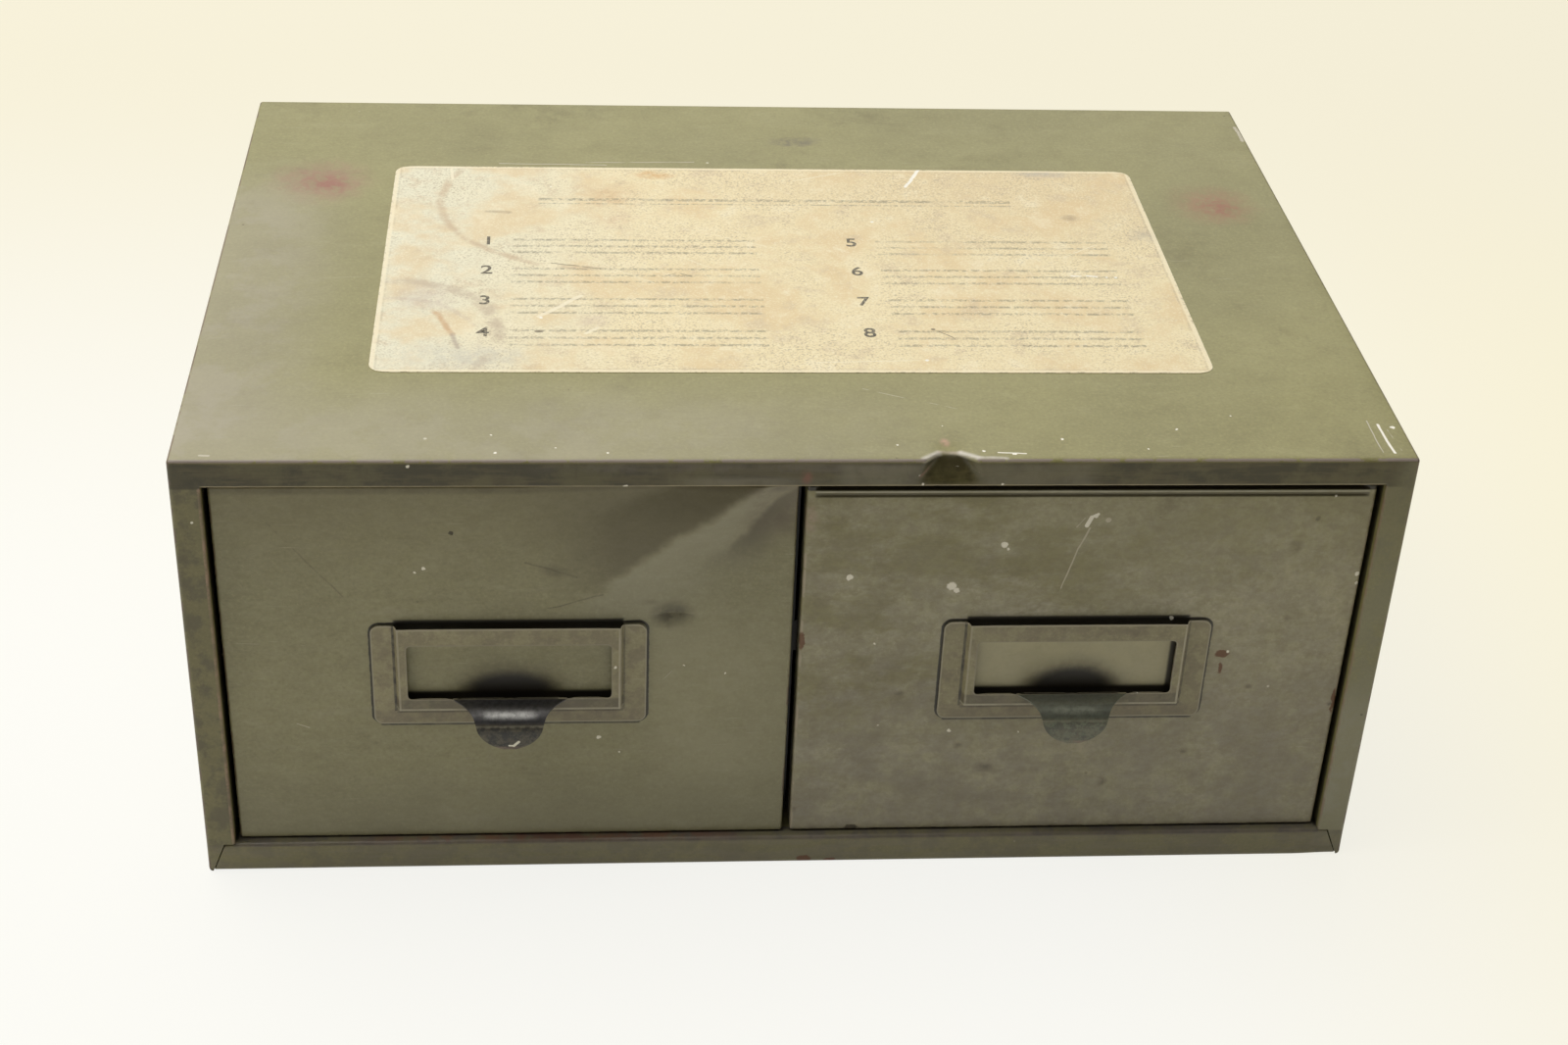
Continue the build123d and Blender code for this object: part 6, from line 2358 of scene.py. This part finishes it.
PAPER = LabelPaper(
    "aged_label",
    patches=(
        *label_stains(),
        Ring((-124.0, -46.0), 35.0, 3.4, (0.520, 0.430, 0.320), 0.62),
        Ring((-122.0, -50.0), 27.0, 1.6, (0.560, 0.470, 0.370), 0.45),
        Ring((-62.0, 48.0), 49.0, 2.2, (0.570, 0.440, 0.290), 0.70, -48.0),
        Rules(),
    ),
    pale=on_label((-76.9, -34.8, 2.0, -63.8, -20.6), (-62.2, -45.7, 1.6, -58.9, -42.2),
                  (-32.0, 7.3, 0.5, -21.8, -0.3), (7.6, -63.9, 0.6, 41.8, -62.4),
                  (-108.3, 74.0, 1.2, -107.6, 66.0), (96.3, 8.3, 0.5, 107.7, 17.1),
                  (10.0, 66.0, 0.6, 27.0, 73.0), (-30.0, 28.0, 0.4, 0.0, 14.0),
                  (-40.0, -12.0, 0.4, -60.0, 4.0)),
    white=on_label((55.4, 76.5, 1.5, 49.1, 61.9), (96.4, -5.5, 0.9, 99.5, -5.6),
                   (101.4, -5.4, 1.1, 104.6, -5.8), (108.0, -6.3, 0.6), (110.8, -6.4, 0.7),
                   (34.5, 33.9, 0.8), (-76.2, -35.6, 0.7), (41.8, -62.4, 0.8), (-74.0, 60.0, 0.4)),
    dark=on_label((46.1, -42.4, 0.9), (47.7, -44.0, 0.5, 51.9, -47.8), (-36.9, -7.2, 0.5, -32.5, -4.3),
                  (-32.5, -4.3, 0.5, -28.2, -7.1), (-73.4, 2.0, 0.6, -57.7, -1.7))
    + (Mark((-76.8, -44.7, LABEL_Z), 1.7, tall=0.5),),
)
INK = PrintInk("faded_ink")


@dataclass
class InnerWorks:
    """Carried-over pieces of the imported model, which keep their shapes and get better materials."""

    finishes: dict[str, bpy.types.Material]
    own: dict[str, bpy.types.Material]

    def build(self) -> None:
        """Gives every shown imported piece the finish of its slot."""
        for piece in list(bpy.context.scene.objects):
            if piece.type != "MESH" or piece.name not in frame["nodes"] or piece.hide_render:
                continue
            for slot in piece.material_slots:
                name = slot.material.name if slot.material else ""
                finish = next((item for key, item in self.finishes.items() if name.startswith(key)), None)
                finish = self.own.get(piece.name, finish)
                if finish is not None:
                    slot.material = finish
                    LOG.info("%s: %s", piece.name, finish.name)


def main() -> None:
    """Builds the studio and every sub-assembly in order."""
    logging.basicConfig(level=logging.INFO, format="%(message)s")
    Studio().build()
    case_paint = CASE_ENAMEL.material()
    CaseShell().build(case_paint)
    BasePan().build(case_paint)
    for side in Side:
        DrawerFront(side).build(front_enamel(side).material())
        PullPlate(side).build(plate_enamel(side).material())
    paper = PAPER.material()
    label = TopLabel()
    label.build(paper)
    label.numerals(INK.material())
    inner = INNER_ENAMEL.material()
    InnerWorks({"olive_enamel": inner, "drawer_enamel": inner, "plated_steel": PLATING.material(),
                "black_rubber": BUFFER_RUBBER.material(), "cream_label": paper},
               dict.fromkeys(("centre_partition", "left_inner_guide", "right_inner_guide"),
                             PARTITION_ENAMEL.material())).build()
    bpy.context.view_layer.update()


if __name__ == "__main__":
    main()
